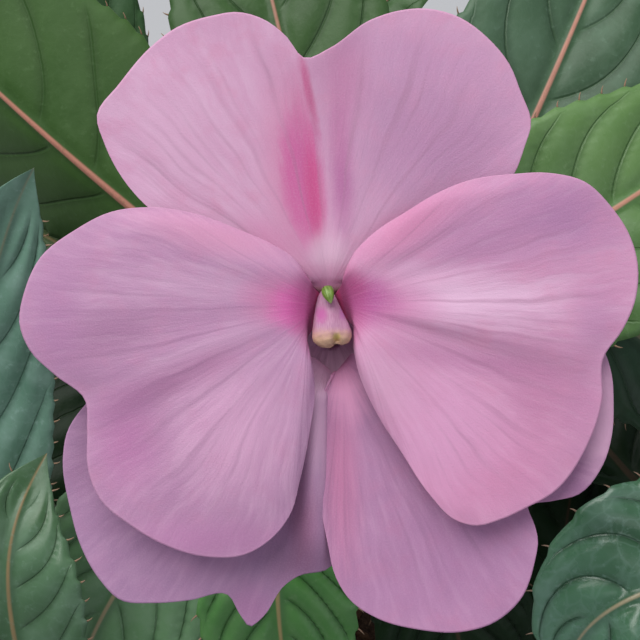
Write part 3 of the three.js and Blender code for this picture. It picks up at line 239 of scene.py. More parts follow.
# ------------------------------------------------------------------ shader helpers
class Nodes:
    def __init__(self, name):
        self.mat = bpy.data.materials.new(name)
        self.mat.use_nodes = True
        self.nt = self.mat.node_tree
        self.nt.nodes.clear()
        self.out = self.nt.nodes.new("ShaderNodeOutputMaterial")

    def n(self, kind, **props):
        node = self.nt.nodes.new(kind)
        for k, v in props.items():
            setattr(node, k, v)
        return node

    def link(self, a, b):
        self.nt.links.new(a, b)

    def put(self, sock, val):
        if isinstance(val, bpy.types.NodeSocket):
            self.nt.links.new(val, sock)
        else:
            sock.default_value = val

    def math(self, op, a, b=0.0, c=0.0, clamp=False):
        m = self.n("ShaderNodeMath", operation=op, use_clamp=clamp)
        self.put(m.inputs[0], a)
        self.put(m.inputs[1], b)
        if op in ("MULTIPLY_ADD", "SMOOTH_MIN", "SMOOTH_MAX", "WRAP"):
            self.put(m.inputs[2], c)
        return m.outputs[0]

    def uv(self, name):
        u = self.n("ShaderNodeUVMap", uv_map=name)
        s = self.n("ShaderNodeSeparateXYZ")
        self.link(u.outputs[0], s.inputs[0])
        return s.outputs[0], s.outputs[1], u.outputs[0]

    def vec(self, x, y, z=0.0):
        c = self.n("ShaderNodeCombineXYZ")
        self.put(c.inputs[0], x)
        self.put(c.inputs[1], y)
        self.put(c.inputs[2], z)
        return c.outputs[0]

    def noise(self, vec, scale=1.0, detail=3.0, rough=0.55, dist=0.0):
        t = self.n("ShaderNodeTexNoise")
        self.link(vec, t.inputs["Vector"])
        t.inputs["Scale"].default_value = scale
        t.inputs["Detail"].default_value = detail
        t.inputs["Roughness"].default_value = rough
        t.inputs["Distortion"].default_value = dist
        return t.outputs["Fac"] if "Fac" in t.outputs else t.outputs[0]

    def obj(self):
        t = self.n("ShaderNodeTexCoord")
        return t.outputs["Object"]

    def scaled(self, vec, x, y, z):
        m = self.n("ShaderNodeVectorMath", operation="MULTIPLY")
        self.link(vec, m.inputs[0])
        m.inputs[1].default_value = (x, y, z)
        return m.outputs[0]

    def mix(self, fac, a, b, blend="MIX"):
        m = self.n("ShaderNodeMix", data_type="RGBA", blend_type=blend)
        self.put(m.inputs["Factor"], fac)
        self.put(m.inputs[6], a if isinstance(a, bpy.types.NodeSocket) else (*a, 1))
        self.put(m.inputs[7], b if isinstance(b, bpy.types.NodeSocket) else (*b, 1))
        return m.outputs[2]

    def ramp(self, fac, stops, interp="LINEAR"):
        r = self.n("ShaderNodeValToRGB")
        r.color_ramp.interpolation = interp
        el = r.color_ramp.elements
        while len(el) > 1:
            el.remove(el[-1])
        el[0].position, el[0].color = stops[0][0], (*stops[0][1], 1)
        for p, c in stops[1:]:
            e = el.new(p)
            e.color = (*c, 1)
        self.link(fac, r.inputs[0])
        return r.outputs[0]

    def range(self, val, a, b, c=0.0, d=1.0, smooth=True):
        m = self.n("ShaderNodeMapRange", interpolation_type="SMOOTHSTEP" if smooth else "LINEAR")
        self.put(m.inputs[0], val)
        for i, x in enumerate((a, b, c, d)):
            m.inputs[1 + i].default_value = x
        return m.outputs[0]

    def bump(self, height, dist, strength=1.0, normal=None):
        b = self.n("ShaderNodeBump")
        b.inputs["Strength"].default_value = strength
        b.inputs["Distance"].default_value = dist
        self.link(height, b.inputs["Height"])
        if normal is not None:
            self.link(normal, b.inputs["Normal"])
        return b.outputs[0]

    def principled(self, color, rough, normal=None, **consts):
        p = self.n("ShaderNodeBsdfPrincipled")
        self.put(p.inputs["Base Color"], color if isinstance(color, bpy.types.NodeSocket) else (*color, 1))
        self.put(p.inputs["Roughness"], rough)
        if normal is not None:
            self.link(normal, p.inputs["Normal"])
        for k, v in consts.items():
            p.inputs[k.replace("_", " ")].default_value = v
        return p

    def finish(self, shader, translucent=None, amount=0.0, normal=None):
        if translucent is not None:
            t = self.n("ShaderNodeBsdfTranslucent")
            self.put(t.inputs[0], translucent)
            if normal is not None:
                self.link(normal, t.inputs["Normal"])
            m = self.n("ShaderNodeMixShader")
            m.inputs[0].default_value = amount
            self.link(shader.outputs[0], m.inputs[1])
            self.link(t.outputs[0], m.inputs[2])
            self.link(m.outputs[0], self.out.inputs[0])
        else:
            self.link(shader.outputs[0], self.out.inputs[0])
        return self.mat


def lin(r, g, b):
    f = lambda c: ((c / 255 + 0.055) / 1.055) ** 2.4 if c > 10 else c / 255 / 12.92
    return (f(r), f(g), f(b))


# ------------------------------------------------------------------ petals
def petal_material(name, base, dark, rim, warm, patches=(), veins=0.3, lines=0.5, throat=1.0, inner=lin(206, 74, 130)):
    """velvety petal: lines and darker veins fanning from the claw, soft mottling, patches that are mostly painted light
    and shade, a painted rim highlight, deeper throat partly painted shade
    """
    s = Nodes(name)
    u, v, uvv = s.uv("fan")          # u 0 claw..1 rim, v across
    x, y, pl = s.uv("plane")         # flower plane, mm/100 + 0.5
    d, e, _ = s.uv("reach")          # distance from claw in mm/100, distance to rim in mm/100
    # everything along the petal follows a gently wandering v
    wob = s.noise(s.vec(s.math("MULTIPLY", v, 5.0), s.math("MULTIPLY", d, 7.0), 1.3), 1.0, 1, 0.5)
    wob2 = s.noise(pl, 17.0, 1, 0.5)
    vv = s.math("ADD", v, s.math("MULTIPLY", s.math("SUBTRACT", wob, 0.5), 0.04))
    vv = s.math("ADD", vv, s.math("MULTIPLY", s.math("SUBTRACT", wob2, 0.5), 0.014))
    # fine lines: two fans of different pitch, blended with distance from the claw
    f1 = s.noise(s.vec(s.math("MULTIPLY", vv, 34.0), s.math("MULTIPLY", d, 9.0)), 1.0, 3, 0.6)
    f2 = s.noise(s.vec(s.math("MULTIPLY", vv, 78.0), s.math("MULTIPLY", d, 17.0), 3.7), 1.0, 3, 0.6)
    far = s.range(d, 0.05, 0.16)
    fan = s.math("ADD", s.math("MULTIPLY", f1, s.math("SUBTRACT", 1.0, far)), s.math("MULTIPLY", f2, far))
    # veins: soft lines along the petal, each with a strength of its own
    vein = None
    for (count, width, k, start) in ((15.0, 0.10, 0.9, 0.03), (31.0, 0.15, 0.8, 0.09), (67.0, 0.24, 0.6, 0.13)):
        ph = s.math("MULTIPLY", vv, count)
        off = s.math("ABSOLUTE", s.math("SUBTRACT", s.math("FRACT", ph), 0.5))
        own = s.n("ShaderNodeTexWhiteNoise", noise_dimensions="1D")
        s.link(s.math("FLOOR", ph), own.inputs["W"])
        ln = s.math("MULTIPLY", s.range(off, 0.0, width, 1.0, 0.0), s.range(own.outputs["Value"], 0.1, 0.9, 0.0, k))
        ln = s.math("MULTIPLY", ln, s.range(d, start, start + 0.07))
        vein = ln if vein is None else s.math("ADD", vein, ln)
    fade = s.noise(pl, 9.0, 2, 0.5)
    vein = s.math("MULTIPLY", vein, s.range(u, 0.97, 0.66, 0.1, 1.0), clamp=True)
    vein = s.math("MULTIPLY", vein, s.range(fade, 0.32, 0.6, 0.35, 1.0))
    blot = s.noise(pl, 30.0, 4, 0.6)
    big = s.noise(pl, 11.0, 3, 0.5)
    grain = s.noise(pl, 520.0, 3, 0.65)
    col = s.mix(s.range(fan, 0.34, 0.66, 0.0, lines), base, dark)
    col = s.mix(s.range(blot, 0.45, 0.7, 0.0, 0.4), col, warm)
    col = s.mix(s.range(big, 0.42, 0.66, 0.0, 0.4), col, dark)
    # patches: ovals of colour, mostly painted light and shade; the streak and magenta throat patches are the petal's
    # own markings
    for pt in patches:
        (cx, cy, rx, ry, ang, pc, k), soft = pt[:7], (pt[7] if len(pt) > 7 else 1.0)
        ca, sa = math.cos(math.radians(ang)), math.sin(math.radians(ang))
        dx = s.math("SUBTRACT", x, 0.5 + cx / 100)
        dy = s.math("SUBTRACT", y, 0.5 + cy / 100)
        a = s.math("ADD", s.math("MULTIPLY", dx, ca * 100 / rx), s.math("MULTIPLY", dy, sa * 100 / rx))
        b = s.math("ADD", s.math("MULTIPLY", dx, -sa * 100 / ry), s.math("MULTIPLY", dy, ca * 100 / ry))
        rr = s.math("SQRT", s.math("ADD", s.math("MULTIPLY", a, a), s.math("MULTIPLY", b, b)))
        rr = s.math("ADD", rr, s.math("MULTIPLY", s.math("SUBTRACT", fan, 0.5), 0.7))
        rr = s.math("ADD", rr, s.math("MULTIPLY", s.math("SUBTRACT", blot, 0.5), 0.5))
        col = s.mix(s.range(rr, 1.3, 0.9 - 0.85 * soft, 0.0, k), col, pc)
    # pale ridges between the fine lines, then the veins
    col = s.mix(s.range(fan, 0.50, 0.30, 0.0, 0.20 * lines), col, lin(238, 200, 226))
    col = s.mix(s.math("MULTIPLY", vein, veins), col, tuple(c * 0.62 for c in dark))
    col = s.mix(s.range(grain, 0.42, 0.7, 0.0, 0.14), col, lin(236, 196, 224))
    # painted highlight: a thin paler line along the rim, standing in for light through the thin edge
    col = s.mix(s.range(e, 0.005, 0.001, 0.0, 0.22), col, rim)
    # throat: the claw runs into a deep burgundy, partly the throat's own colour and partly painted shade of the recess
    col = s.mix(s.range(d, 0.034, 0.010, 0.0, 0.45 * throat), col, lin(200, 92, 150))
    col = s.mix(s.range(d, 0.009, 0.0, 0.0, 0.65 * throat), col, lin(158, 60, 106))
    col = s.mix(s.range(u, -0.02, -0.10, 0.0, 0.9), col, inner)
    h = s.math("ADD", s.math("MULTIPLY", fan, 1.0), s.math("MULTIPLY", grain, 0.5))
    nrm = s.bump(h, 0.00010, 0.7)
    rough = s.range(fan, 0.3, 0.7, 0.62, 0.52, smooth=False)
    p = s.principled(col, rough, nrm, Sheen_Weight=0.08, Sheen_Roughness=0.4, Specular_IOR_Level=0.2)
    p.inputs["Sheen Tint"].default_value = (1.0, 0.8, 0.92, 1)
    return s.finish(p, col, 0.3, nrm)


def rim_points(P, n):
    P = np.array(P, float)
    m = len(P)
    d = np.concatenate([[0], np.cumsum(np.linalg.norm(np.diff(P, axis=0), axis=1))])
    tan = np.zeros_like(P)
    for j in range(m):
        if j == 0:
            tan[j] = (P[1] - P[0]) / (d[1] - d[0])
        elif j == m - 1:
            tan[j] = (P[-1] - P[-2]) / (d[-1] - d[-2])
        else:
            h0, h1 = d[j] - d[j - 1], d[j + 1] - d[j]
            tan[j] = ((P[j] - P[j - 1]) / h0 * h1 + (P[j + 1] - P[j]) / h1 * h0) / (h0 + h1)
    t = np.linspace(0, d[-1], n)
    i = np.clip(np.searchsorted(d, t, side="right") - 1, 0, m - 2)
    h = (d[i + 1] - d[i])[:, None]
    x = ((t - d[i]))[:, None] / h
    return (2 * x**3 - 3 * x**2 + 1) * P[i] + (x**3 - 2 * x**2 + x) * h * tan[i] + (-2 * x**3 + 3 * x**2) * P[i + 1] + (x**3 - x**2) * h * tan[i + 1]


TILT = math.radians(32.0)
FPOS = V([5, -30, 243])
FX, FY, FN = V([1, 0, 0]), V([0, math.cos(TILT), math.sin(TILT)]), V([0, -math.sin(TILT), math.cos(TILT)])


def to_world(P):
    P = np.asarray(P, float)
    return FPOS + P[..., 0:1] * FX + P[..., 1:2] * FY + P[..., 2:3] * FN


THROAT = V([1.1, 2.05])
ZUP = {"petal_top_skin": 1.8, "petal_left_skin": 2.6, "petal_right_skin": 2.6, "petal_lower_left_skin": 1.0, "petal_lower_right_skin": 1.2}
CLAW = {"petal_top_skin": [-1.1, 4.2, 2.9, 4.4], "petal_left_skin": [-0.7, 3.71, -1.5, -2.1]}
CREASE = {"petal_left_skin": 0.0, "petal_right_skin": 0.0}


def petal(name, p, mat_top, mat_back, extra=None, nu=50, nv=128, inward=7):
    R = rim_points(p["rim"], nv)
    v = np.linspace(0, 1, nv)
    u = np.concatenate([np.linspace(0, 0.12, 11)[:-1], np.linspace(0.12, 0.93, nu - 20), np.linspace(0.93, 1, 11)[1:]])
    claw = CLAW.get(name, p["claw"])
    cl, cr = V(claw[:2]), V(claw[2:])
    c = cl + (cr - cl) * v[:, None]
    reach = R - c
    rl = np.linalg.norm(reach, axis=1)
    U, Vv = np.meshgrid(u, v, indexing="ij")
    XY = c[None] + reach[None] * U[..., None]
    d = U * rl[None]
    s = 1 - np.exp(-d / 1.7)
    z = p["zc"] + ZUP.get(name, 0) + (p["zm"] - p["zc"] - ZUP.get(name, 0)) * s + (p["zr"] - p["zm"]) * U**2
    z = z - CREASE.get(name, p["crease"]) * np.exp(-(((Vv - p["fold"]) / 0.07) ** 2)) * np.sin(math.pi * np.minimum(U * 0.9 + 0.05, 1))
    if extra is not None:
        z = z + extra(U, Vv, XY, d)
    # soft ribs that fan out, and a gently waved rim
    seed = sum(map(ord, name)) % 17
    z = z + 0.05 * np.sin(Vv * 61 + seed + 2.2 * np.sin(Vv * 9 + seed)) * sm(d, 3, 12) * (1 - 0.4 * U)
    z = z + 0.16 * np.sin(Vv * 21 + seed) * sm(U, 0.72, 1.0) + 0.09 * np.sin(Vv * 47 + 2 * seed) * sm(U, 0.9, 1.0)
    th = 0.34 - 0.16 * sm(U, 0.75, 1.0)
    th[-1] = 0.05
    # the claw narrows as it runs down the throat to the receptacle
    k = np.linspace(1, 0, inward, endpoint=False)[:, None]
    foot = THROAT + (c - THROAT) * p.get("foot", 0.45)
    ka, kb = np.clip(k * 1.9, 0, 1), np.clip((k - 0.45) / 0.55, 0, 1)
    XY0 = c[None] * (1 - ka[..., None]) + (foot[None] * (1 - 0.1 * kb[..., None]) + THROAT * 0.1 * kb[..., None]) * ka[..., None] + 0 * XY[:inward]
    zb = p["zc"] + ZUP.get(name, 0)
    z0 = zb + (-3.7 - zb) * ka * (zb > -3.7) + (-8.1 - np.minimum(zb, -3.7)) * kb + 0 * z[:inward]
    XY = np.concatenate([XY0, XY], 0)
    z = np.concatenate([z0 + 0 * z[:1], z], 0)
    th = np.concatenate([np.full((inward, nv), 0.3), th], 0)
    U = np.concatenate([np.broadcast_to(-0.3 * k, (inward, nv)), U], 0)
    d = np.concatenate([np.zeros((inward, nv)), d], 0)
    Vv = np.concatenate([Vv[:1]] * inward + [Vv], 0)
    nu = U.shape[0]
    P = np.concatenate([XY, z[..., None]], -1)
    top = to_world(P)
    # thickness goes along the surface's own normal
    du = np.gradient(P, axis=0)
    dv = np.gradient(P, axis=1)
    N3 = unit(np.cross(du, dv))
    N3 = np.where(np.median(N3[..., 2]) < 0, -N3, N3)
    Lw = P - N3 * th[..., None]
    low = to_world(Lw)
    n = nu * nv
    fan = np.stack([U, Vv], -1).reshape(-1, 2)
    plane = np.stack([XY[..., 0] / 100 + 0.5, XY[..., 1] / 100 + 0.5], -1).reshape(-1, 2)
    er = rl[None] * (1 - np.maximum(U, 0))
    rch = np.stack([d / 100, er / 100], -1).reshape(-1, 2)
    idx = np.arange(n).reshape(nu, nv)
    a, b, cc, dd = idx[:-1, :-1].ravel(), idx[:-1, 1:].ravel(), idx[1:, :-1].ravel(), idx[1:, 1:].ravel()
    faces = list(zip(a, b, dd, cc)) + list(zip(n + a, n + cc, n + dd, n + b))
    mi = [0] * len(a) + [1] * len(a)
    ring = list(idx[0, :]) + list(idx[1:, -1]) + list(idx[-1, -2::-1]) + list(idx[-2:0:-1, 0])
    for k_ in range(len(ring)):
        i0, i1 = ring[k_], ring[(k_ + 1) % len(ring)]
        faces.append((i0, n + i0, n + i1, i1))
        mi.append(0)
    return mesh_object(name, np.vstack([top.reshape(-1, 3), low.reshape(-1, 3)]), faces, [mat_top, mat_back], mi,
                       {"fan": np.vstack([fan, fan]), "plane": np.vstack([plane, plane]), "reach": np.vstack([rch, rch])})


# x, y (mm in the flower plane), half sizes, turn, colour, strength, softness; most patches are painted light and shade
# of the petals' tilts, folds and cast shadows, while the streak and the magenta throat marks are the petals' own colour
LIGHT, PINK, WARM, MAUVE, RIM_HIGHLIGHT = lin(230, 184, 214), lin(220, 162, 198), lin(226, 156, 190), lin(192, 138, 184), lin(228, 176, 208)
STREAK = lin(222, 92, 152)
MAG = lin(194, 96, 164)
mats = {
    "petal_top": petal_material("petal_top_skin", LIGHT, PINK, RIM_HIGHLIGHT, WARM, veins=0.42, lines=0.45, throat=0.5, inner=lin(176, 130, 136), patches=[
        # the large mauve oval over the right lobe is painted shade
        (13.5, 20, 13, 17, 60, lin(194, 144, 184), 0.85), (12, 30, 12, 4, -10, lin(206, 154, 194), 0.5),
        # the pale oval on the left lobe is painted light
        (-17, 21, 8, 9, 0, lin(234, 192, 220), 0.6), (2.6, 28, 3.4, 6, 0, lin(208, 138, 180), 0.7),
        (-3.6, 17.6, 3.4, 13, 4, lin(222, 142, 182), 0.7), (-1.95, 16.4, 2.5, 8.4, 5, lin(218, 110, 170), 0.9, 0.45), (-0.75, 14.8, 1.2, 6.6, 5, STREAK, 0.8, 0.7),
        (-1.3, 26.0, 0.62, 4.8, 13, lin(206, 88, 142), 0.8, 0.8), (-2.4, 24.5, 1.6, 4.6, 8, lin(220, 132, 176), 0.6),
        (2.5, 16.0, 1.6, 7.4, 2, lin(188, 108, 164), 0.75), (2.2, 22.0, 2.0, 5.4, 0, lin(204, 124, 172), 0.5), (0.8, 7.6, 2.4, 2.8, 0, lin(236, 196, 220), 0.85, 0.8),
        (-6.0, 9.4, 4.6, 2.2, -40, lin(222, 146, 188), 0.6), (8.0, 9.8, 5.0, 2.4, 38, lin(212, 138, 182), 0.6)]),
    "petal_left": petal_material("petal_left_skin", lin(212, 166, 200), lin(196, 143, 184), RIM_HIGHLIGHT, lin(216, 152, 188), veins=0.32, lines=0.55, patches=[
        (-12, 9.5, 11, 2.6, -14, lin(220, 154, 188), 0.7), (-15, 4.0, 12, 2.6, -4, lin(222, 182, 212), 0.45),
        # along the fold: the pale band is a painted highlight and the two darker bands are painted shade
        (-13, -3.0, 10, 1.5, 20, lin(224, 180, 212), 0.6), (-24, -1.8, 9, 3.4, 12, lin(180, 130, 168), 0.8), (-15.5, -6.4, 10, 2.2, 24, lin(196, 136, 178), 0.8),
        # the pale oval on the lower lobe is painted light; the darker ovals toward the left and lower rims and at the
        # left rim are painted shade
        (-10, -13, 9, 9, 0, lin(236, 184, 218), 0.8), (-22, -14, 5, 7, 0, lin(204, 132, 184), 0.7), (-14, -25, 12, 3.4, 0, lin(208, 144, 192), 0.7),
        (-30, 0, 4, 9, 0, lin(196, 142, 186), 0.6),
        (-4.4, 2.4, 5.0, 3.6, 0, lin(222, 128, 178), 0.75), (-2.8, 1.5, 3.2, 2.9, 10, lin(238, 112, 190), 0.9, 0.8)]),
    "petal_right": petal_material("petal_right_skin", lin(230, 174, 208), lin(218, 154, 194), RIM_HIGHLIGHT, lin(230, 158, 192), veins=0.42, lines=0.6, patches=[
        # the mauve ovals across the upper lobe are painted shade
        (22, 10.5, 17, 6.5, 12, lin(196, 142, 184), 0.85), (10, 10.5, 9, 2.6, 34, lin(208, 132, 172), 0.75), (28, 12, 7, 4.5, -20, lin(186, 134, 180), 0.6),
        # the pale band is a painted highlight and the darker line below it is painted shade of the fold
        (17, 2.4, 15, 4.0, -4, lin(244, 204, 232), 0.9), (31, 0.0, 3.5, 5, 0, lin(206, 150, 192), 0.55), (18, -4.8, 13, 1.9, -9, lin(200, 136, 178), 0.8),
        # the pale ovals over the lower lobe are painted light
        (25, -9, 8, 6, 0, lin(212, 140, 182), 0.6), (19, -17.5, 10, 6, 20, lin(238, 160, 202), 0.8), (8, -8.0, 6, 3.4, -50, lin(232, 182, 212), 0.7), (14, -13, 9, 9, 0, lin(244, 180, 220), 0.85), (29.5, -8.5, 2.6, 5, 0, lin(208, 146, 186), 0.6),
        (7.4, 1.8, 6.4, 3.8, -6, lin(214, 128, 180), 0.75), (5.0, 2.4, 4.0, 2.9, -8, MAG, 0.85, 0.8), (3.9, 3.9, 2.0, 1.8, 0, lin(186, 74, 132), 0.6)]),
    # the lower petals' darker tones are partly painted shade from the lateral petals over them; here the pale ovals at
    # the claw strip are painted light and the dark mauve ovals low on the petal are painted shadow
    "petal_lower_left": petal_material("petal_lower_left_skin", lin(198, 154, 192), lin(172, 132, 172), lin(200, 156, 192), lin(194, 144, 184), veins=0.2, lines=0.36, throat=0.5, patches=[
        (-8, -34, 4, 4, 0, lin(182, 122, 170), 0.6), (-0.3, -11, 2.4, 9, 4, lin(240, 192, 222), 0.8), (-0.6, -6.4, 2.6, 2.6, 0, lin(255, 214, 240), 0.9), (-4.0, -28.6, 3.0, 4.2, 0, lin(140, 96, 128), 0.45), (-1.6, -24, 2.4, 7, 0, lin(150, 88, 124), 0.6)]),
    # the pale ovals at the claw and on the lobe behind the right petal are painted light
    "petal_lower_right": petal_material("petal_lower_right_skin", lin(206, 154, 194), lin(184, 132, 174), lin(216, 160, 196), lin(212, 144, 184), veins=0.25, lines=0.38, throat=0.5, patches=[
        (2.4, -18, 2.6, 13, 2, lin(224, 140, 182), 0.7), (32.4, -10.5, 3.6, 8.5, 0, lin(240, 192, 222), 0.95, 0.7), (2.8, -8.0, 2.6, 4.4, 16, lin(250, 178, 218), 0.9), (17, -26, 8, 8, 0, lin(192, 140, 184), 0.5), (8, -32, 7, 3, 0, lin(200, 146, 190), 0.4)]),
}
back_mat = petal_material("petal_back_skin", lin(212, 166, 200), lin(196, 146, 184), RIM_HIGHLIGHT, lin(214, 164, 198), veins=0.45, throat=0.5)


def fold(U, Vv, at, high, wide, narrow):
    # the upper lobe rises to a fold and drops off it; below the fold the lower lobe comes back up
    w = Vv - at
    up = np.exp(-((w / wide) ** 2))
    dn = np.exp(-((w / narrow) ** 2)) - 0.55 * (1 - np.exp(-((w / narrow) ** 2))) * np.exp(-(((w - 0.05) / 0.075) ** 2))
    return high * np.where(w < 0, up, dn) * sm(U, 0.04, 0.42) * (1 - 0.5 * sm(U, 0.85, 1.0))


def lat_left(U, Vv, XY, d):
    k = Vv - 0.5
    return fold(U, Vv, LEFT_FOLD, 0.5, 0.11, 0.03) * (0.25 + 0.75 * sm(U, 0.3, 0.8)) + 0.35 * np.exp(-((k + 0.30) / 0.10) ** 2) * sm(U, 0.08, 0.4) * (1 - sm(U, 0.8, 1))


def lat_right(U, Vv, XY, d):
    k = Vv - 0.5
    return fold(U, Vv, RIGHT_FOLD, 0.55, 0.10, 0.026) + 0.3 * np.exp(-((k + 0.32) / 0.10) ** 2) * sm(U, 0.1, 0.4) * (1 - sm(U, 0.8, 1))


def notch(name, at):
    """v of the rim point nearest to the notch between the two lobes"""
    R = rim_points(PETALS[name]["rim"], 400)
    return float(np.argmin(np.linalg.norm(R - V(at), axis=1))) / 399


LEFT_FOLD, RIGHT_FOLD = notch("petal_left", (-26.6, -9.6)), notch("petal_right", (32.0, -3.6))


def low_left(U, Vv, XY, d):
    # the part beside the throat stands up into the gap between its neighbours
    x, y = XY[..., 0], XY[..., 1]
    m = np.exp(-(((x + 0.6) / 2.6) ** 2)) * (1 - sm(x, 0.6, 1.8)) * sm(-y, 6, 9) * (1 - sm(-y, 24, 32))
    return 3.2 * m


def low_right(U, Vv, XY, d):
    return 0 * U


EXTRA = {"petal_left": lat_left, "petal_right": lat_right, "petal_lower_left": low_left, "petal_lower_right": low_right}
for nm, p in PETALS.items():
    adopt(petal(nm + "_skin", p, mats[nm], back_mat, EXTRA.get(nm), inward=0 if "lower" in nm else 7), nm)

# ------------------------------------------------------------------ leaves
def leaf_material(name, g1, g2, rib, vein, painted_sheen, vein_k=0.5, rough=(0.36, 0.5), back=lin(112, 128, 96), petiole=lin(132, 92, 70), ribw=0.62, bristle=lin(152, 122, 98), spec=0.32, deep=0.62, netk=0.07):
    """upper side: mottled green with side veins, a fine net and a pale rib, painted shade round the veins and rib and a
    painted sheen in mottles, net lines and flecks; paler underside
    """
    s = Nodes(name)
    t, v01, _ = s.uv("sv")
    lx, wx, mm = s.uv("mm")            # mm / 100, across is centred on 0.5
    ph, amp, _ = s.uv("vein")          # vein phase / 20, vein strength
    kind, wid, _ = s.uv("kind")        # 0 upper, .25 under, .5 petiole and rib, .75 bristle
    ob = s.obj()
    big = s.noise(ob, 34.0, 3, 0.55)
    mid = s.noise(ob, 150.0, 3, 0.6)
    fine = s.noise(ob, 900.0, 3, 0.65)
    net = s.n("ShaderNodeTexVoronoi", feature="DISTANCE_TO_EDGE")
    warp = s.n("ShaderNodeVectorMath", operation="MULTIPLY_ADD")
    wn = s.n("ShaderNodeTexNoise")
    s.link(mm, wn.inputs["Vector"])
    wn.inputs["Scale"].default_value = 30.0
    s.link(wn.outputs["Color"], warp.inputs[0])
    warp.inputs[1].default_value = (0.03, 0.03, 0.0)
    s.link(mm, warp.inputs[2])
    s.link(warp.outputs[0], net.inputs["Vector"])
    net.inputs["Scale"].default_value = 44.0
    net_line = s.range(net.outputs["Distance"], 0.0, 0.10, 1.0, 0.0)
    # distance from the nearest side vein, in parts of the vein spacing
    g = s.math("MULTIPLY", ph, 20.0)
    d = s.math("ABSOLUTE", s.math("SUBTRACT", s.math("FRACT", s.math("ADD", g, 0.5)), 0.5))
    line = s.math("MULTIPLY", s.range(d, 0.0, 0.045, 1.0, 0.0), amp)
    # painted shade: a darker band in the groove round each side vein
    vein_painted_shade = s.math("MULTIPLY", s.range(d, 0.0, 0.20, 1.0, 0.0), amp)
    ribd = s.math("MULTIPLY", s.math("ABSOLUTE", s.math("SUBTRACT", wx, 0.5)), 100.0)
    ribwid = s.math("MULTIPLY", s.math("SUBTRACT", 1.12, t), ribw)
    ribf = s.range(s.math("SUBTRACT", ribd, ribwid), -0.12, 0.22, 1.0, 0.0)
    # painted shade: a darker band in the groove along the rib
    rib_painted_shade = s.range(s.math("SUBTRACT", ribd, ribwid), 0.0, 1.6, 1.0, 0.0)
    # upper side colour
    col = s.mix(s.range(big, 0.34, 0.66), g1, g2)
    # painted sheen: broad mottles toward a pale bluish sheen colour
    col = s.mix(s.range(mid, 0.42, 0.7, 0.0, 0.3), col, painted_sheen)
    col = s.mix(s.math("MULTIPLY", vein_painted_shade, 0.5), col, tuple(c * deep for c in g1))
    # the fine net's lines take the painted sheen colour
    col = s.mix(s.math("MULTIPLY", net_line, netk), col, painted_sheen)
    # vein lines in the vein colour; where it is darker than the blade this is partly painted shade in the impressed
    # veins
    col = s.mix(s.math("MULTIPLY", line, vein_k), col, vein)
    col = s.mix(s.math("MULTIPLY", rib_painted_shade, 0.35), col, vein)
    ribcol = s.mix(s.range(mid, 0.35, 0.7, 0.0, 0.5), rib, tuple(c * 0.75 for c in rib))
    col = s.mix(ribf, col, ribcol)
    # flecks of painted sheen
    fleck = s.range(fine, 0.56, 0.74, 0.0, 0.34)
    col = s.mix(fleck, col, painted_sheen)
    # the other surfaces
    under = s.math("GREATER_THAN", kind, 0.12)
    stalk = s.math("GREATER_THAN", kind, 0.37)
    hair = s.math("GREATER_THAN", kind, 0.62)
    ucol = s.mix(s.range(big, 0.3, 0.7), back, tuple(c * 0.8 for c in back))
    ucol = s.mix(s.math("MULTIPLY", line, 0.5), ucol, lin(160, 158, 124))
    ucol = s.mix(s.math("MULTIPLY", net_line, 0.25), ucol, lin(150, 150, 116))
    pcol = s.mix(s.range(mid, 0.3, 0.7), petiole, tuple(c * 0.7 for c in petiole))
    pcol = s.mix(s.range(t, 0.02, 0.5), pcol, rib)
    col = s.mix(under, col, ucol)
    col = s.mix(stalk, col, pcol)
    col = s.mix(hair, col, bristle)
    h = s.math("MULTIPLY", fine, 0.35)
    h = s.math("ADD", h, s.math("MULTIPLY", mid, 0.8))
    h = s.math("ADD", h, s.math("MULTIPLY", line, -0.9))
    nrm = s.bump(h, 0.00016, 0.8)
    r = s.range(mid, 0.3, 0.7, rough[0], rough[1], smooth=False)
    r = s.math("ADD", r, s.math("MULTIPLY", under, 0.16))
    p = s.principled(col, r, nrm, Specular_IOR_Level=spec, Sheen_Weight=0.02, Sheen_Roughness=0.5)
    return s.finish(p, s.mix(0.5, col, lin(120, 150, 50)), 0.10, nrm)


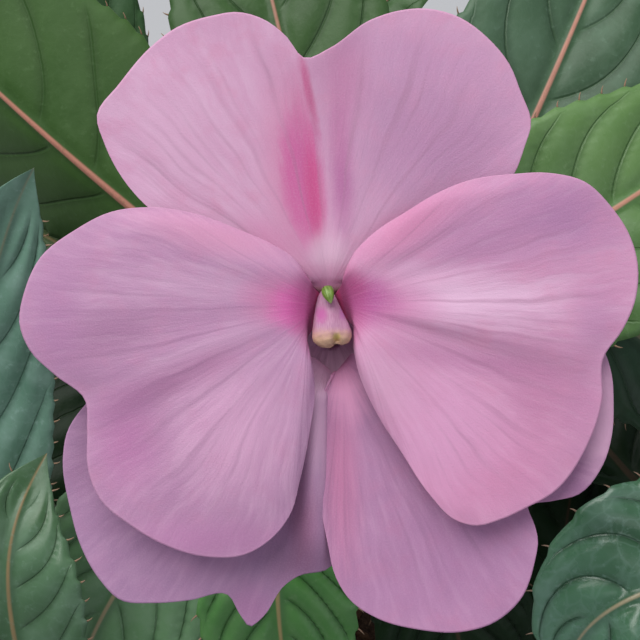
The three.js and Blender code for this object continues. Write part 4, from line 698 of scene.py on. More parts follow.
GREEN = dict(
    main1=leaf_material("leaf_skin_main", lin(50, 80, 34), lin(62, 92, 44), lin(186, 128, 110), lin(50, 78, 38), lin(80, 108, 66), ribw=0.5, spec=0.15, rough=(0.5, 0.62)),
    young=leaf_material("leaf_skin_yellow", lin(46, 72, 28), lin(58, 86, 34), lin(140, 124, 74), lin(80, 104, 48), lin(80, 104, 56), ribw=0.42),
    top=leaf_material("leaf_skin_top", lin(56, 84, 58), lin(74, 102, 76), lin(196, 140, 122), lin(50, 80, 46), lin(100, 128, 106), ribw=0.5),
    topleft=leaf_material("leaf_skin_top_left", lin(44, 74, 34), lin(60, 92, 46), lin(164, 116, 96), lin(38, 66, 30), lin(82, 110, 72), ribw=0.3),
    light=leaf_material("leaf_skin_light", lin(78, 114, 60), lin(96, 130, 74), lin(192, 138, 116), lin(66, 104, 52), lin(120, 150, 106), vein_k=0.35, ribw=0.42),
    # dark: a near-black green, painted shade for leaf_main_06, which lies in shade beside the flower
    dark=leaf_material("leaf_skin_dark", lin(20, 46, 24), lin(30, 58, 32), lin(110, 106, 76), lin(60, 86, 56), lin(50, 82, 60), ribw=0.45),
    # blue (gloss): broad noise between a dark and a pale green gives painted shade and painted highlights on the glossy
    # blade; its sheen colour is a pale blue painted reflection
    blue=leaf_material("leaf_skin_gloss", lin(40, 86, 50), lin(86, 136, 100), lin(176, 164, 128), lin(34, 68, 40), lin(134, 168, 152), vein_k=0.4, rough=(0.2, 0.34), spec=0.8, netk=0.16, ribw=0.36),
    bright=leaf_material("leaf_skin_bright", lin(66, 124, 54), lin(90, 144, 74), lin(168, 150, 98), lin(50, 94, 40), lin(120, 156, 104), ribw=0.32, rough=(0.3, 0.42), spec=0.5),
    dull=leaf_material("leaf_skin_dull", lin(86, 130, 82), lin(112, 150, 110), lin(168, 156, 124), lin(60, 92, 58), lin(134, 160, 136), vein_k=0.4, ribw=0.45, spec=0.45),
    grey=leaf_material("leaf_skin_grey", lin(64, 98, 62), lin(84, 118, 86), lin(142, 122, 84), lin(50, 82, 48), lin(120, 148, 126), vein_k=0.35, ribw=0.32, spec=0.5, rough=(0.3, 0.42)),
    back=leaf_material("leaf_skin_back", lin(78, 116, 96), lin(110, 148, 128), lin(120, 128, 104), lin(62, 98, 76), lin(150, 178, 168), vein_k=0.3, rough=(0.26, 0.38), spec=0.6, ribw=0.34),
    fillA=leaf_material("leaf_skin_fill_a", lin(52, 86, 44), lin(68, 100, 54), lin(180, 128, 106), lin(60, 92, 50), lin(92, 122, 86), ribw=0.55),
    fillB=leaf_material("leaf_skin_fill_b", lin(44, 78, 42), lin(58, 92, 52), lin(160, 130, 98), lin(52, 84, 46), lin(84, 114, 84), ribw=0.5),
    # old: a very dark skin for the lower leaves, partly their older darker colour and partly painted shade where they
    # lie deep under the canopy
    old=leaf_material("leaf_skin_old", lin(13, 32, 14), lin(22, 42, 20), lin(70, 58, 42), lin(36, 54, 30), lin(36, 54, 36), spec=0.15, back=lin(36, 50, 30), petiole=lin(48, 32, 26), bristle=lin(84, 66, 50), ribw=0.4),
)
SKIN = {
    "leaf_main_01": "main1", "leaf_main_02": "young", "leaf_main_03": "topleft", "leaf_main_04": "top", "leaf_main_05": "light",
    "leaf_main_06": "dark", "leaf_main_07": "bright", "leaf_main_08": "dull", "leaf_main_09": "old", "leaf_right_01": "blue",
    # these lower leaves take the old skin, partly painted shade
    "leaf_front_right_02": "old", "leaf_right_03": "old", "leaf_back_05": "old", "leaf_left_05": "old", "leaf_front_right_04": "old", "leaf_back_right_04": "old",
    "leaf_right_05": "old", "leaf_main_02": "young",
    "leaf_front_left_01": "grey", "leaf_front_left_02": "back", "leaf_young_01": "light", "leaf_young_02": "light",
}
FINE = {"leaf_main_01", "leaf_main_02", "leaf_main_03", "leaf_main_04", "leaf_main_05", "leaf_main_06", "leaf_main_07",
        "leaf_main_08", "leaf_main_09", "leaf_right_01", "leaf_front_left_01", "leaf_front_left_02"}
PR = 1.15
stem_curve = {k: (V(s[0]), s[1], s[2]) for k, s in STEMS.items()}
attach = {k: [] for k in STEMS}


def stem_of(name):
    if name.startswith("leaf_young") or name.startswith("leaf_main"):
        return "stem_main"
    return "stem_" + name[5:-3]


def blade_frame(L, s):
    B, U0, U1, sp, W, fold, cup = [V(a) if isinstance(a, list) else a for a in L]
    C = bez(B, s)
    T = unit(dbez(B, s))
    U = unit(U0 * (1 - s)[:, None] + U1 * s[:, None])
    side = unit(np.cross(T, U))
    return C, T, side, np.cross(side, T)


# side veins: pairs, and how far they arch; relief in mm; wave of the margin in mm
STYLE = {
    "leaf_main_01": (6, 0.30, 0.32, 0.5, 0.1), "leaf_main_04": (7, 0.28, 0.45, 0.5, 0.15), "leaf_main_03": (8, 0.30, 0.6, 0.5, 0.3), "leaf_main_05": (8, 0.28, 0.6, 0.6, 0.2),
    "leaf_right_01": (6, 0.30, 0.75, 0.8, 0.35), "leaf_main_08": (7, 0.34, 0.8, 0.6, 0.5), "leaf_front_left_01": (7, 0.27, 0.42, 0.35, 0.2),
    "leaf_front_left_02": (8, 0.25, 0.75, 0.5, 0.6), "leaf_main_07": (8, 0.3, 0.8, 0.6, 0.1),
}


def leaf(name, L, skin, fine):
    B, U0, U1, sp, W, fold, cup = [V(a) if isinstance(a, list) else a for a in L]
    f = math.radians(fold)
    seed = sum(ord(c) * (i + 3) for i, c in enumerate(name)) % 991
    rnd = lambda k: hashf(seed, k)
    small = W < 7
    Nv, arch, relief, wavy, off = STYLE.get(name, (7 + int(rnd(1) * 2.99), 0.26 + 0.1 * rnd(2), 0.7 + 0.5 * rnd(3), 0.7 + 0.7 * rnd(4), rnd(5)))
    nS, nV = (150, 41) if fine else ((60, 17) if small else (104, 23))
    if small:
        relief, wavy = 0.25, 0.2
    k = np.linspace(0, 1, nS)
    t = k - 0.35 * np.sin(2 * math.pi * k) / (2 * math.pi) * 0.6
    s = sp + (1 - sp) * t
    C, T, side, nrm = blade_frame(L, s)
    arc = np.concatenate([[0], np.cumsum(np.linalg.norm(np.diff(C, axis=0), axis=1))])
    w = planform(t) * W
    wp = PR * np.maximum(0.25, 1 - t) * (0.7 if small else 1)
    e = np.linspace(-1, 1, nV)
    v = np.sign(e) * np.abs(e) ** 1.35
    Wm, Vm = np.meshgrid(w, v, indexing="ij")
    Tm = np.broadcast_to(t[:, None], Wm.shape)
    Am = np.broadcast_to(arc[:, None], Wm.shape)
    Pm = np.broadcast_to(wp[:, None], Wm.shape)
    av = np.abs(Vm)
    a = np.sqrt(Vm**2 + 0.01) - 0.1
    lat = Wm * Vm * math.cos(0.6 * f) + Vm * Pm * (1 - 0.5 * np.minimum(1, Wm / (2.5 * Pm))) * (1 - sm(Tm, 0.9, 1.0))
    hgt = Wm * (a * math.sin(f) - cup * Vm**2)
    # side veins and the quilted blade between them
    phase = Nv * (Tm + 0.04 - arch * av**1.45 * (0.75 + 0.5 * Tm)) + np.where(Vm < 0, 0.3 + off, off) * sm(av, 0.0, 0.05)
    phase = phase + 0.10 * np.sin(Vm * 7 + seed) * av
    dv = np.abs((phase + 0.5) % 1.0 - 0.5)
    dist = av * Wm
    amp = sm(dist, 0.6, 2.2) * (1 - sm(av, 0.82, 0.98)) * sm(Wm, 2.5, 6.0) * (1 - sm(Tm, 0.84, 0.97)) * sm(Tm, 0.02, 0.08)
    quilt = np.sin(math.pi * dv) ** 1.0
    hgt = hgt + relief * amp * (quilt - 0.62) - 0.22 * relief * amp * np.exp(-((dv / 0.07) ** 2))
    hgt = hgt + np.where(Wm > 2.5, 1, 0) * sm(Wm, 2.5, 5) * (-0.42 * np.exp(-((dist / 1.5) ** 2)) + 0.46 * np.exp(-((dist / 0.62) ** 2)))
    # slow waves of the blade and its margin
    hgt = hgt + wavy * av**2.5 * sm(Wm, 3, 8) * (0.6 * np.sin(Tm * 17 + 6.3 * rnd(6) + (Vm > 0) * 2.1) + 0.45 * np.sin(Tm * 31 + 6.3 * rnd(7) + (Vm > 0) * 1.3))
    # toothed margin
    pitch = 3.4 if not small else 2.2
    tp = Am / pitch + np.where(Vm < 0, rnd(8), rnd(9))
    saw = (tp % 1.0)
    tooth = np.where(saw < 0.82, saw / 0.82, (1 - saw) / 0.18)
    lat = lat + np.sign(Vm) * (0.5 if not small else 0.2) * (tooth - 0.45) * sm(av, 0.82, 1.0) * sm(Wm, 2.0, 5.0)
    hgt = hgt - 0.28 * sm(av, 0.9, 1.0) * sm(Wm, 2, 5)
    top = C[:, None] + side[:, None] * lat[..., None] + nrm[:, None] * hgt[..., None]
    th = 0.62 - 0.34 * sm(av, 0.0, 0.9)
    th = np.where(av > 0.999, 0.10, th)
    th = th * (1 - 0.6 * sm(Tm, 0.9, 1.0))
    low = top - nrm[:, None] * th[..., None]
    n = nS * nV
    idx = np.arange(n).reshape(nS, nV)
    p, q, r, u = idx[:-1, :-1].ravel(), idx[:-1, 1:].ravel(), idx[1:, 1:].ravel(), idx[1:, :-1].ravel()
    b = Build(["sv", "mm", "vein", "kind"])
    sv = np.stack([Tm, 0.5 + 0.5 * Vm], -1).reshape(-1, 2)
    mmv = np.stack([Am / 100, dist * np.sign(Vm) / 100 + 0.5], -1).reshape(-1, 2)
    vv = np.stack([(phase + 3) / 20, amp], -1).reshape(-1, 2)
    ring = list(idx[0, :]) + list(idx[1:, -1]) + list(idx[-1, -2::-1]) + list(idx[-2:0:-1, 0])
    verts = np.vstack([top.reshape(-1, 3), low.reshape(-1, 3)])
    faces = list(zip(p, q, r, u)) + list(zip(n + p, n + u, n + r, n + q))
    for i in range(len(ring)):
        i0, i1 = ring[i], ring[(i + 1) % len(ring)]
        faces.append((i0, n + i0, n + i1, i1))
    kd = np.vstack([np.tile([0.0, 0.5], (n, 1)), np.tile([0.25, 0.5], (n, 1))])
    b.add(verts, faces, 0, {"sv": np.vstack([sv, sv]), "mm": np.vstack([mmv, mmv]), "vein": np.vstack([vv, vv]), "kind": kd})
    # petiole from the stem's axis, running on as the rib under the blade
    sk = stem_of(name)
    SB = stem_curve[sk][0]
    st = np.linspace(0, 1, 200)
    SP = bez(SB, st)
    pr = PR * (0.7 if small else 1)
    ss = np.concatenate([np.linspace(0, sp, 12), sp + (1 - sp) * np.linspace(0.03, 0.95, 34)])
    C2, T2, side2, nrm2 = blade_frame(L, ss)
    t2 = np.clip((ss - sp) / (1 - sp), 0, 1)
    rad = pr * np.where(t2 <= 0, 1.0, np.maximum(0.16, (1 - t2) ** 0.9))
    dep = rad * 0.95 + 0.32 * sm(t2, 0.0, 0.15)
    P = C2 - nrm2 * dep[:, None]
    j = int(np.argmin(np.linalg.norm(SP - (P[0] - T2[0] * 3.0), axis=1)))
    attach[sk].append((st[j], P[0] - SP[j]))
    A0 = SP[j]
    m = 6
    hh = np.linspace(0, 1, m, endpoint=False)[:, None]
    dist0 = np.linalg.norm(P[0] - A0)
    H = (2 * hh**3 - 3 * hh**2 + 1) * A0 + (hh**3 - 2 * hh**2 + hh) * unit(P[0] - A0) * dist0 + (-2 * hh**3 + 3 * hh**2) * P[0] + (hh**3 - hh**2) * T2[0] * dist0
    P = np.vstack([H, P])
    rad = np.concatenate([pr * (1.45 - 0.45 * hh[:, 0]), rad])
    tv, tf, _ = tube_rings(P, rad, rad, 9 if fine else 7)
    tt = np.concatenate([np.zeros(m), t2])
    nsd = 9 if fine else 7
    tuv = np.concatenate([np.repeat(tt, nsd), [0, tt[-1]]])
    cuv = np.stack([tuv, np.full(len(tuv), 0.5)], 1)
    b.add(tv, tf, 0, {"sv": cuv, "mm": cuv * [1, 1], "vein": np.tile([0.0, 0.0], (len(tuv), 1)), "kind": np.tile([0.5, 0.5], (len(tuv), 1))})
    # bristles, one at each tooth
    for sgn, col, rr in ((-1, 0, rnd(8)), (1, nV - 1, rnd(9))):
        kmax = int(arc[-1] / pitch + rr)
        for kk in range(1, kmax + 1):
            ar = (kk - rr - 0.16) * pitch
            if ar < 0 or ar > arc[-1] * 0.985:
                continue
            i = float(np.interp(ar, arc, np.arange(nS)))
            i0 = min(int(i), nS - 2)
            fr = i - i0
            if w[i0] < 2.2:
                continue
            E = top[i0, col] * (1 - fr) + top[i0 + 1, col] * fr - nrm[i0] * 0.12
            ln = (1.0 if not small else 0.5) * (0.75 + 0.5 * hashf(seed + kk, sgn + 3))
            d0 = unit(side[i0] * sgn * 1.0 + T[i0] * (0.45 + 0.4 * hashf(seed + kk, 5)) + nrm[i0] * (0.25 + 0.5 * hashf(seed + kk, 6)))
            d1 = unit(d0 + T[i0] * 0.9)
            P3 = np.array([E - d0 * 0.35, E + d0 * 0.3 * ln, E + d0 * 0.62 * ln + d1 * 0.08 * ln, E + d0 * 0.75 * ln + d1 * 0.34 * ln])
            bv, bf, _ = tube_rings(P3, np.array([0.17, 0.12, 0.08, 0.03]), None, 4, ref=nrm[i0] + 0.01)
            c4 = np.tile([0.5, 0.5], (len(bv), 1))
            b.add(bv, bf, 0, {"sv": c4, "mm": c4, "vein": np.zeros((len(bv), 2)), "kind": np.tile([0.75, 0.5], (len(bv), 1))})
    o = b.make(name + "_skin", [skin])
    adopt(o, name)
    return o


for i, (nm, L) in enumerate(LEAVES.items()):
    skin = GREEN[SKIN.get(nm, "fillA" if i % 2 else "fillB")]
    leaf(nm, L, skin, nm in FINE)

# ------------------------------------------------------------------ flower centre
def grid_skin(b, G, kind_uv, mat=0, closed_v=True, cap0=True, cap1=True):
    """G (n, m, 3) rings; adds a closed tube skin to the build with one (a, b) uv pair per point in each layer"""
    n, m = G.shape[:2]
    verts = np.vstack([G.reshape(-1, 3), G[0].mean(0)[None], G[-1].mean(0)[None]])
    f = []
    for i in range(n - 1):
        for j in range(m):
            k = (j + 1) % m
            f.append((i * m + j, i * m + k, (i + 1) * m + k, (i + 1) * m + j))
    for j in range(m):
        k = (j + 1) % m
        f.append((n * m, k, j))
        f.append((n * m + 1, (n - 1) * m + j, (n - 1) * m + k))
    uvs = {}
    for name, arr in kind_uv.items():
        a = np.asarray(arr, float).reshape(n, m, 2)
        uvs[name] = np.vstack([a.reshape(-1, 2), a[0].mean(0)[None], a[-1].mean(0)[None]])
    b.add(verts, f, mat, uvs)


def plane_uv(P):
    return np.stack([P[..., 0] / 100 + 0.5, P[..., 1] / 100 + 0.5], -1)


def column_material():
    s = Nodes("column_skin")
    x, y, pl = s.uv("plane")
    t, q, _ = s.uv("along")
    n1 = s.noise(pl, 260.0, 3, 0.6)
    n2 = s.noise(pl, 1400.0, 3, 0.6)
    st = s.noise(s.vec(s.math("MULTIPLY", x, 900.0), s.math("MULTIPLY", y, 120.0)), 1.0, 3, 0.6)
    col = s.mix(s.range(st, 0.3, 0.7), lin(170, 116, 148), lin(186, 138, 166))
    # cream pollen lobes at the free end
    edge = s.math("ADD", y, s.math("MULTIPLY", s.math("SUBTRACT", n1, 0.5), 0.010))
    cream = s.mix(s.range(n2, 0.35, 0.7), lin(190, 146, 122), lin(210, 174, 142))
    col = s.mix(s.range(edge, 0.5 - 0.006, 0.5 - 0.0175, 0.0, 1.0), col, s.mix(0.45, lin(184, 134, 140), cream))
    col = s.mix(s.range(edge, 0.5 - 0.0155, 0.5 - 0.0235, 0.0, 1.0), col, cream)

    def spot(cx, cy, rx, ry, c, k):
        nonlocal col
        dx = s.math("MULTIPLY", s.math("SUBTRACT", x, 0.5 + cx / 100), 100 / rx)
        dy = s.math("MULTIPLY", s.math("SUBTRACT", y, 0.5 + cy / 100), 100 / ry)
        rr = s.math("SQRT", s.math("ADD", s.math("MULTIPLY", dx, dx), s.math("MULTIPLY", dy, dy)))
        rr = s.math("ADD", rr, s.math("MULTIPLY", s.math("SUBTRACT", n1, 0.5), 0.9))
        col = s.mix(s.range(rr, 1.25, 0.2, 0.0, k), col, c)

    spot(0.15, 0.6, 0.8, 1.2, lin(180, 84, 150), 0.9)
    spot(2.6, 0.9, 0.5, 1.1, lin(176, 96, 168), 0.6)
    spot(1.9, -1.9, 0.55, 0.5, lin(214, 188, 112), 0.85)
    spot(-0.9, -0.2, 0.45, 1.6, lin(150, 100, 110), 0.55)
    h = s.math("ADD", s.math("MULTIPLY", n2, 0.6), s.math("MULTIPLY", st, 0.6))
    nrm = s.bump(h, 0.0001, 0.6)
    p = s.principled(col, s.range(n1, 0.3, 0.7, 0.42, 0.6, smooth=False), nrm, Specular_IOR_Level=0.4)
    return s.finish(p, col, 0.12, nrm)


def make_column():
    b = Build(["plane", "along"])
    n, m = 60, 56
    t = np.linspace(0, 1, n)
    tt = 0.5 - 0.5 * np.cos(math.pi * t)
    C = bez(V(COLUMN), tt)
    C[:, 1] += 0.25 - 0.30 * tt
    T = unit(dbez(V(COLUMN), tt))
    side = unit(np.cross(T, V([0, 0.2, 1.0])))
    side = np.where(side[:, :1] < 0, -side, side)
    up = unit(np.cross(side, T))
    up = np.where(up[:, 2:] < 0, -up, up)
    a = np.interp(tt, [0, 0.04, 0.12, 0.28, 0.45, 0.62, 0.76, 0.86, 0.93, 0.98, 1], [0.25, 0.75, 1.05, 1.42, 1.78, 2.1, 2.26, 2.2, 1.95, 1.45, 0.9])
    bb = np.interp(tt, [0, 0.05, 0.2, 0.4, 0.65, 0.85, 0.95, 1], [0.2, 0.6, 0.95, 1.15, 1.3, 1.25, 0.9, 0.35])
    q = np.arange(m) * 2 * math.pi / m
    cx = np.cos(q)[None] * a[:, None]
    cz = np.sin(q)[None] * bb[:, None]
    Tm = np.broadcast_to(tt[:, None], cx.shape)
    upper = np.clip(np.sin(q), 0, 1)[None]
    groove = np.exp(-(((cx - 0.42) / 0.34) ** 2))
    cz = cz - 0.42 * groove * sm(Tm, 0.62, 0.95) * upper
    # two rounded lobes at the free end, a small notch between them, folds that run up the hood
    pull = 0.62 * groove * sm(Tm, 0.84, 1.0) - 0.22 * np.exp(-(((cx + 0.9) / 0.8) ** 2)) * sm(Tm, 0.85, 1.0)
    cz = cz + 0.10 * np.sin(cx * 3.1 + 0.6) * upper * sm(Tm, 0.12, 0.4) * (1 - sm(Tm, 0.8, 1.0))
    cz = cz + 0.05 * np.sin(q * 9 + 2)[None] * sm(Tm, 0.7, 0.95)
    G = C[:, None] + side[:, None] * cx[..., None] + up[:, None] * cz[..., None] - T[:, None] * pull[..., None]
    grid_skin(b, to_world(G), {"plane": plane_uv(G), "along": np.stack([Tm, np.broadcast_to(np.abs(q / math.pi - 1)[None], Tm.shape)], -1)})
    adopt(b.make("stamen_column_skin", [column_material()]), "stamen_column")


make_column()


def simple_material(name, c1, c2, c3, scale, rough, stretch=(1, 1, 1), bump=0.0002, spec=0.45, trans=0.0, streak=0.5, low_length_colour=None):
    """two-tone skin with streaks, mottling and fine grain in object space"""
    s = Nodes(name)
    ob = s.obj()
    st = s.noise(s.scaled(ob, *stretch), scale, 4, 0.6)
    bl = s.noise(ob, scale * 0.35, 3, 0.55)
    gr = s.noise(ob, scale * 6.0, 3, 0.6)
    col = s.mix(s.range(st, 0.35, 0.65), c1, c2)
    col = s.mix(s.range(bl, 0.42, 0.66, 0.0, streak), col, c3)
    col = s.mix(s.range(gr, 0.5, 0.8, 0.0, 0.25), col, tuple(min(1, c * 1.35) for c in c2))
    if low_length_colour is not None:
        # the lower length darkens toward a dark brown
        sep = s.n("ShaderNodeSeparateXYZ")
        s.link(ob, sep.inputs[0])
        low = s.math("ADD", sep.outputs["Z"], s.math("MULTIPLY", s.math("SUBTRACT", bl, 0.5), 0.03))
        col = s.mix(s.range(low, 0.175, 0.115, 0.0, 0.85), col, low_length_colour)
    nrm = s.bump(s.math("ADD", s.math("MULTIPLY", st, 0.7), s.math("MULTIPLY", gr, 0.4)), bump, 0.7)
    p = s.principled(col, s.range(st, 0.3, 0.7, rough[0], rough[1], smooth=False), nrm, Specular_IOR_Level=spec)
    return s.finish(p, col if trans else None, trans, nrm)


def make_ovary():
    b = Build(["plane", "along"])
    n, m = 40, 26
    t = np.linspace(0, 1, n)
    tt = 0.5 - 0.5 * np.cos(math.pi * t)
    C = bez(V(OVARY), tt)
    T = unit(dbez(V(OVARY), tt))
    side = unit(np.cross(T, V([0, 0.2, 1.0])))
    up = np.cross(side, T)
    a = np.interp(tt, [0, 0.1, 0.3, 0.5, 0.7, 0.85, 0.95, 1], [0.3, 0.6, 0.7, 0.66, 0.5, 0.3, 0.14, 0.03])
    bb = a * 0.66
    q = np.arange(m) * 2 * math.pi / m
    rib = 1 + 0.05 * np.cos(q * 5)[None]
    G = C[:, None] + side[:, None] * (a[:, None] * np.cos(q) * rib)[..., None] + up[:, None] * (bb[:, None] * np.sin(q) * rib)[..., None]
    uv = np.stack([np.broadcast_to(tt[:, None], G.shape[:2]), np.broadcast_to(np.abs(q / math.pi - 1)[None], G.shape[:2])], -1)
    grid_skin(b, to_world(G), {"plane": plane_uv(G), "along": uv})
    s = Nodes("ovary_skin")
    t_, q_, _ = s.uv("along")
    x, y, pl = s.uv("plane")
    n1 = s.noise(pl, 900.0, 3, 0.6)
    st = s.noise(s.vec(s.math("MULTIPLY", q_, 9.0), s.math("MULTIPLY", t_, 1.5)), 1.0, 2, 0.5)
    col = s.mix(s.range(st, 0.35, 0.65), lin(84, 112, 34), lin(120, 146, 62))
    col = s.mix(s.range(t_, 0.75, 1.0, 0.0, 0.6), col, lin(150, 164, 100))
    col = s.mix(s.range(n1, 0.5, 0.75, 0.0, 0.4), col, lin(84, 112, 26))
    nrm = s.bump(s.math("ADD", st, n1), 0.00005, 0.5)
    mat = s.finish(s.principled(col, 0.3, nrm, Specular_IOR_Level=0.55), col, 0.1, nrm)
    adopt(b.make("ovary_tip_skin", [mat]), "ovary_tip")


make_ovary()


def make_spur():
    """open funnel behind the petals, running into a long thin curved spur"""
    b = Build(["plane", "along"])
    steps = [(0.30, 0.8, 0.8), (0.24, 0.9, 0.9), (0.17, 1.0, 1.0), (0.10, 1.15, 1.15), (0.055, 1.4, 1.5), (0.025, 2.2, 2.5), (-0.01, 2.85, 3.35), (-0.034, 3.14, 3.66),
             (-0.04, 3.24, 3.76), (-0.03, 3.36, 3.86), (0.012, 3.36, 3.8), (0.04, 3.0, 3.25), (0.09, 2.42, 2.5), (0.16, 1.85, 1.85), (0.25, 1.45, 1.45), (0.38, 1.18, 1.18),
             (0.55, 0.98, 0.98), (0.72, 0.84, 0.84), (0.88, 0.74, 0.74), (0.96, 0.66, 0.66), (0.99, 0.45, 0.45), (1.0, 0.2, 0.2)]
    st = np.array(steps)
    k = np.linspace(0, len(st) - 1, 110)
    tt = np.interp(k, np.arange(len(st)), st[:, 0])
    a = np.interp(k, np.arange(len(st)), st[:, 1])
    c = np.interp(k, np.arange(len(st)), st[:, 2])
    B = V(SPUR)
    tc = np.clip(tt, 0, 1)
    C = bez(B, tc) + (tt - tc)[:, None] * (B[1] - B[0])[None] * 3
    T = unit(dbez(B, tc))
    side = unit(np.cross(T, V([0, 1, 0.02])))
    side = np.where(side[:, :1] < 0, -side, side)
    up = np.cross(side, T)
    up = np.where(up[:, 1:2] < 0, -up, up)
    m = 44
    q = np.arange(m) * 2 * math.pi / m
    wob = 1 + (0.025 * np.cos(q * 3 + 0.7) + 0.018 * np.cos(q * 7 + 2))[None]
    G = C[:, None] + side[:, None] * (a[:, None] * np.cos(q) * wob)[..., None] + up[:, None] * (c[:, None] * np.sin(q) * wob)[..., None]
    # the funnel's own hole lies to the back of the mouth, behind the column
    G[..., :] += up[:, None] * (1.5 * sm(k, 7, 3) * (k < 8) * sm(k, -1, 2))[:, None, None]
    inner = np.broadcast_to((k < 7.5).astype(float)[:, None], G.shape[:2])
    grid_skin(b, to_world(G), {"plane": np.stack([inner, inner], -1), "along": np.stack([np.broadcast_to(tt[:, None], G.shape[:2]), np.broadcast_to(np.abs(q / math.pi - 1)[None], G.shape[:2])], -1)})
    s = Nodes("spur_skin")
    t_, q_, _ = s.uv("along")
    ins, _, _ = s.uv("plane")
    ob = s.obj()
    ve = s.noise(s.vec(s.math("MULTIPLY", q_, 16.0), s.math("MULTIPLY", t_, 5.0)), 1.0, 3, 0.6)
    bl = s.noise(ob, 420.0, 3, 0.6)
    col = s.mix(s.range(ve, 0.35, 0.65), lin(208, 150, 184), lin(180, 118, 150))
    col = s.mix(s.range(t_, 0.2, 0.9), col, lin(176, 108, 122))
    col = s.mix(s.range(bl, 0.45, 0.75, 0.0, 0.4), col, lin(214, 176, 188))
    # painted light: a very pale pink inside the funnel lifts its shaded mouth
    inside_painted_light = s.mix(s.range(ve, 0.35, 0.65), lin(226, 186, 212), lin(210, 168, 196))
    col = s.mix(s.range(ins, 0.4, 0.6), col, inside_painted_light)
    nrm = s.bump(s.math("ADD", ve, s.math("MULTIPLY", bl, 0.4)), 0.00015, 0.6)
    mat = s.finish(s.principled(col, 0.5, nrm, Specular_IOR_Level=0.35), col, 0.15, nrm)
    adopt(b.make("spurred_sepal_skin", [mat]), "spurred_sepal")


make_spur()


def make_sepal(name, L):
    B, U0, U1, sp, W, fold, cup = [V(a) if isinstance(a, list) else a for a in L]
    s_ = np.linspace(0, 1, 34)
    T = unit(dbez(B, s_))
    C = bez(B, s_)
    side = unit(np.cross(T, V([0, 0, 1.0])))
    nrm = np.cross(side, T)
    t = np.clip((s_ - sp) / (1 - sp), 0, 1)
    w = planform(t) * W + 0.35 * (1 - t)
    v = np.linspace(-1, 1, 13)
    lat = w[:, None] * v[None]
    h = w[:, None] * (np.abs(v) * 0.16 - cup * 2.0 * v**2)[None] + 0.06 * np.cos(v * 9)[None] * sm(w, 0.4, 1.2)[:, None]
    top = C[:, None] + side[:, None] * lat[..., None] + nrm[:, None] * h[..., None]
    th = np.broadcast_to((0.36 - 0.26 * np.abs(v))[None], h.shape)
    low = top - nrm[:, None] * th[..., None]
    # up one side of the blade and back along the other: a closed ring of points at each station
    G = np.concatenate([top, low[:, ::-1]], axis=1)
    b = Build(["plane", "along"])
    uv = np.stack([np.broadcast_to(t[:, None], G.shape[:2]), np.broadcast_to(np.concatenate([v, v[::-1]])[None] * 0.5 + 0.5, G.shape[:2])], -1)
    grid_skin(b, to_world(G), {"plane": uv, "along": uv})
    adopt(b.make(name + "_skin", [SEPAL_MAT]), name)


SEPAL_MAT = simple_material("sepal_skin", lin(120, 142, 82), lin(142, 158, 98), lin(150, 104, 92), 500.0, (0.45, 0.6), stretch=(1.0, 0.35, 1.0), trans=0.12)
for nm, L in SEPALS.items():
    make_sepal(nm, L)


# ------------------------------------------------------------------ stems and flower stalk
STEM_MAT = simple_material("stem_skin", lin(126, 66, 54), lin(112, 92, 56), lin(96, 112, 62), 260.0, (0.34, 0.5), stretch=(1.0, 1.0, 0.12), bump=0.00025, spec=0.5, trans=0.06, streak=0.7, low_length_colour=lin(46, 30, 22))
BUD_MAT = simple_material("shoot_tip_skin", lin(108, 136, 72), lin(132, 156, 86), lin(150, 92, 76), 600.0, (0.4, 0.55), stretch=(1.0, 1.0, 0.3), bump=0.0001, trans=0.1)


def make_stem(name, S):
    B, r0, r1 = V(S[0]), S[1], S[2]
    n, m = 130, 28
    t = np.linspace(0, 1, n)
    P = bez(B, t)
    L = np.concatenate([[0], np.cumsum(np.linalg.norm(np.diff(P, axis=0), axis=1))])
    r = r0 + (r1 - r0) * t
    for (tn, _) in attach[name]:
        ln = np.interp(tn, t, L)
        r = r + 0.42 * np.exp(-(((L - ln) / 2.6) ** 2))
    for i in range(1, 6):
        ln = L[-1] * (0.12 + 0.145 * i)
        r = r + 0.28 * np.exp(-(((L - ln) / 1.1) ** 2))
    cap = np.clip((L[-1] - L) / (r1 * 1.1), 0, 1)
    r = r * np.sqrt(1 - (1 - cap) ** 2 * 0.97)
    q = np.arange(m) * 2 * math.pi / m
    wob = 1 + 0.035 * np.cos(5 * q[None] + 0.25 * L[:, None] * 0.2) + 0.02 * np.cos(9 * q[None] + 1 + L[:, None] * 0.05)
    verts, faces, uv = tube_rings(P, r, r, m, wob=wob)
    b = Build(["along"])
    b.add(verts, faces, 0, {"along": uv})
    # folded young leaves round the growing tip
    T = unit(dbez(B, np.array([1.0])))[0]
    A1 = unit(np.cross(T, V([0.3, 0.9, 0.1])))
    A2 = np.cross(T, A1)
    seed = sum(map(ord, name))
    for i in range(6):
        a = i * 2.4 + seed
        d = A1 * math.cos(a) + A2 * math.sin(a)
        ln = 6.5 - 0.8 * i if name != "stem_main" else 4.2 - 0.4 * i
        base = P[-1] - T * (1.3 - 0.1 * i) + d * (1.1 - 0.12 * i)
        pts = np.array([base, base + T * ln * 0.35 + d * 0.55, base + T * ln * 0.72 + d * 0.75, base + T * ln + d * 0.25])
        tq = np.linspace(0, 1, 15)
        pp = bez(np.array([pts[0], pts[1], pts[2], pts[3]]), tq)
        ww = np.sin(math.pi * np.clip(tq * 0.93 + 0.05, 0, 1)) ** 0.8 * (1.0 - 0.08 * i) * 0.95 + 0.05
        v2, f2, u2 = tube_rings(pp, ww, ww * 0.38, 10, ref=d)
        b.add(v2, f2, 1, {"along": u2})
    adopt(b.make(name + "_skin", [STEM_MAT, BUD_MAT]), name)


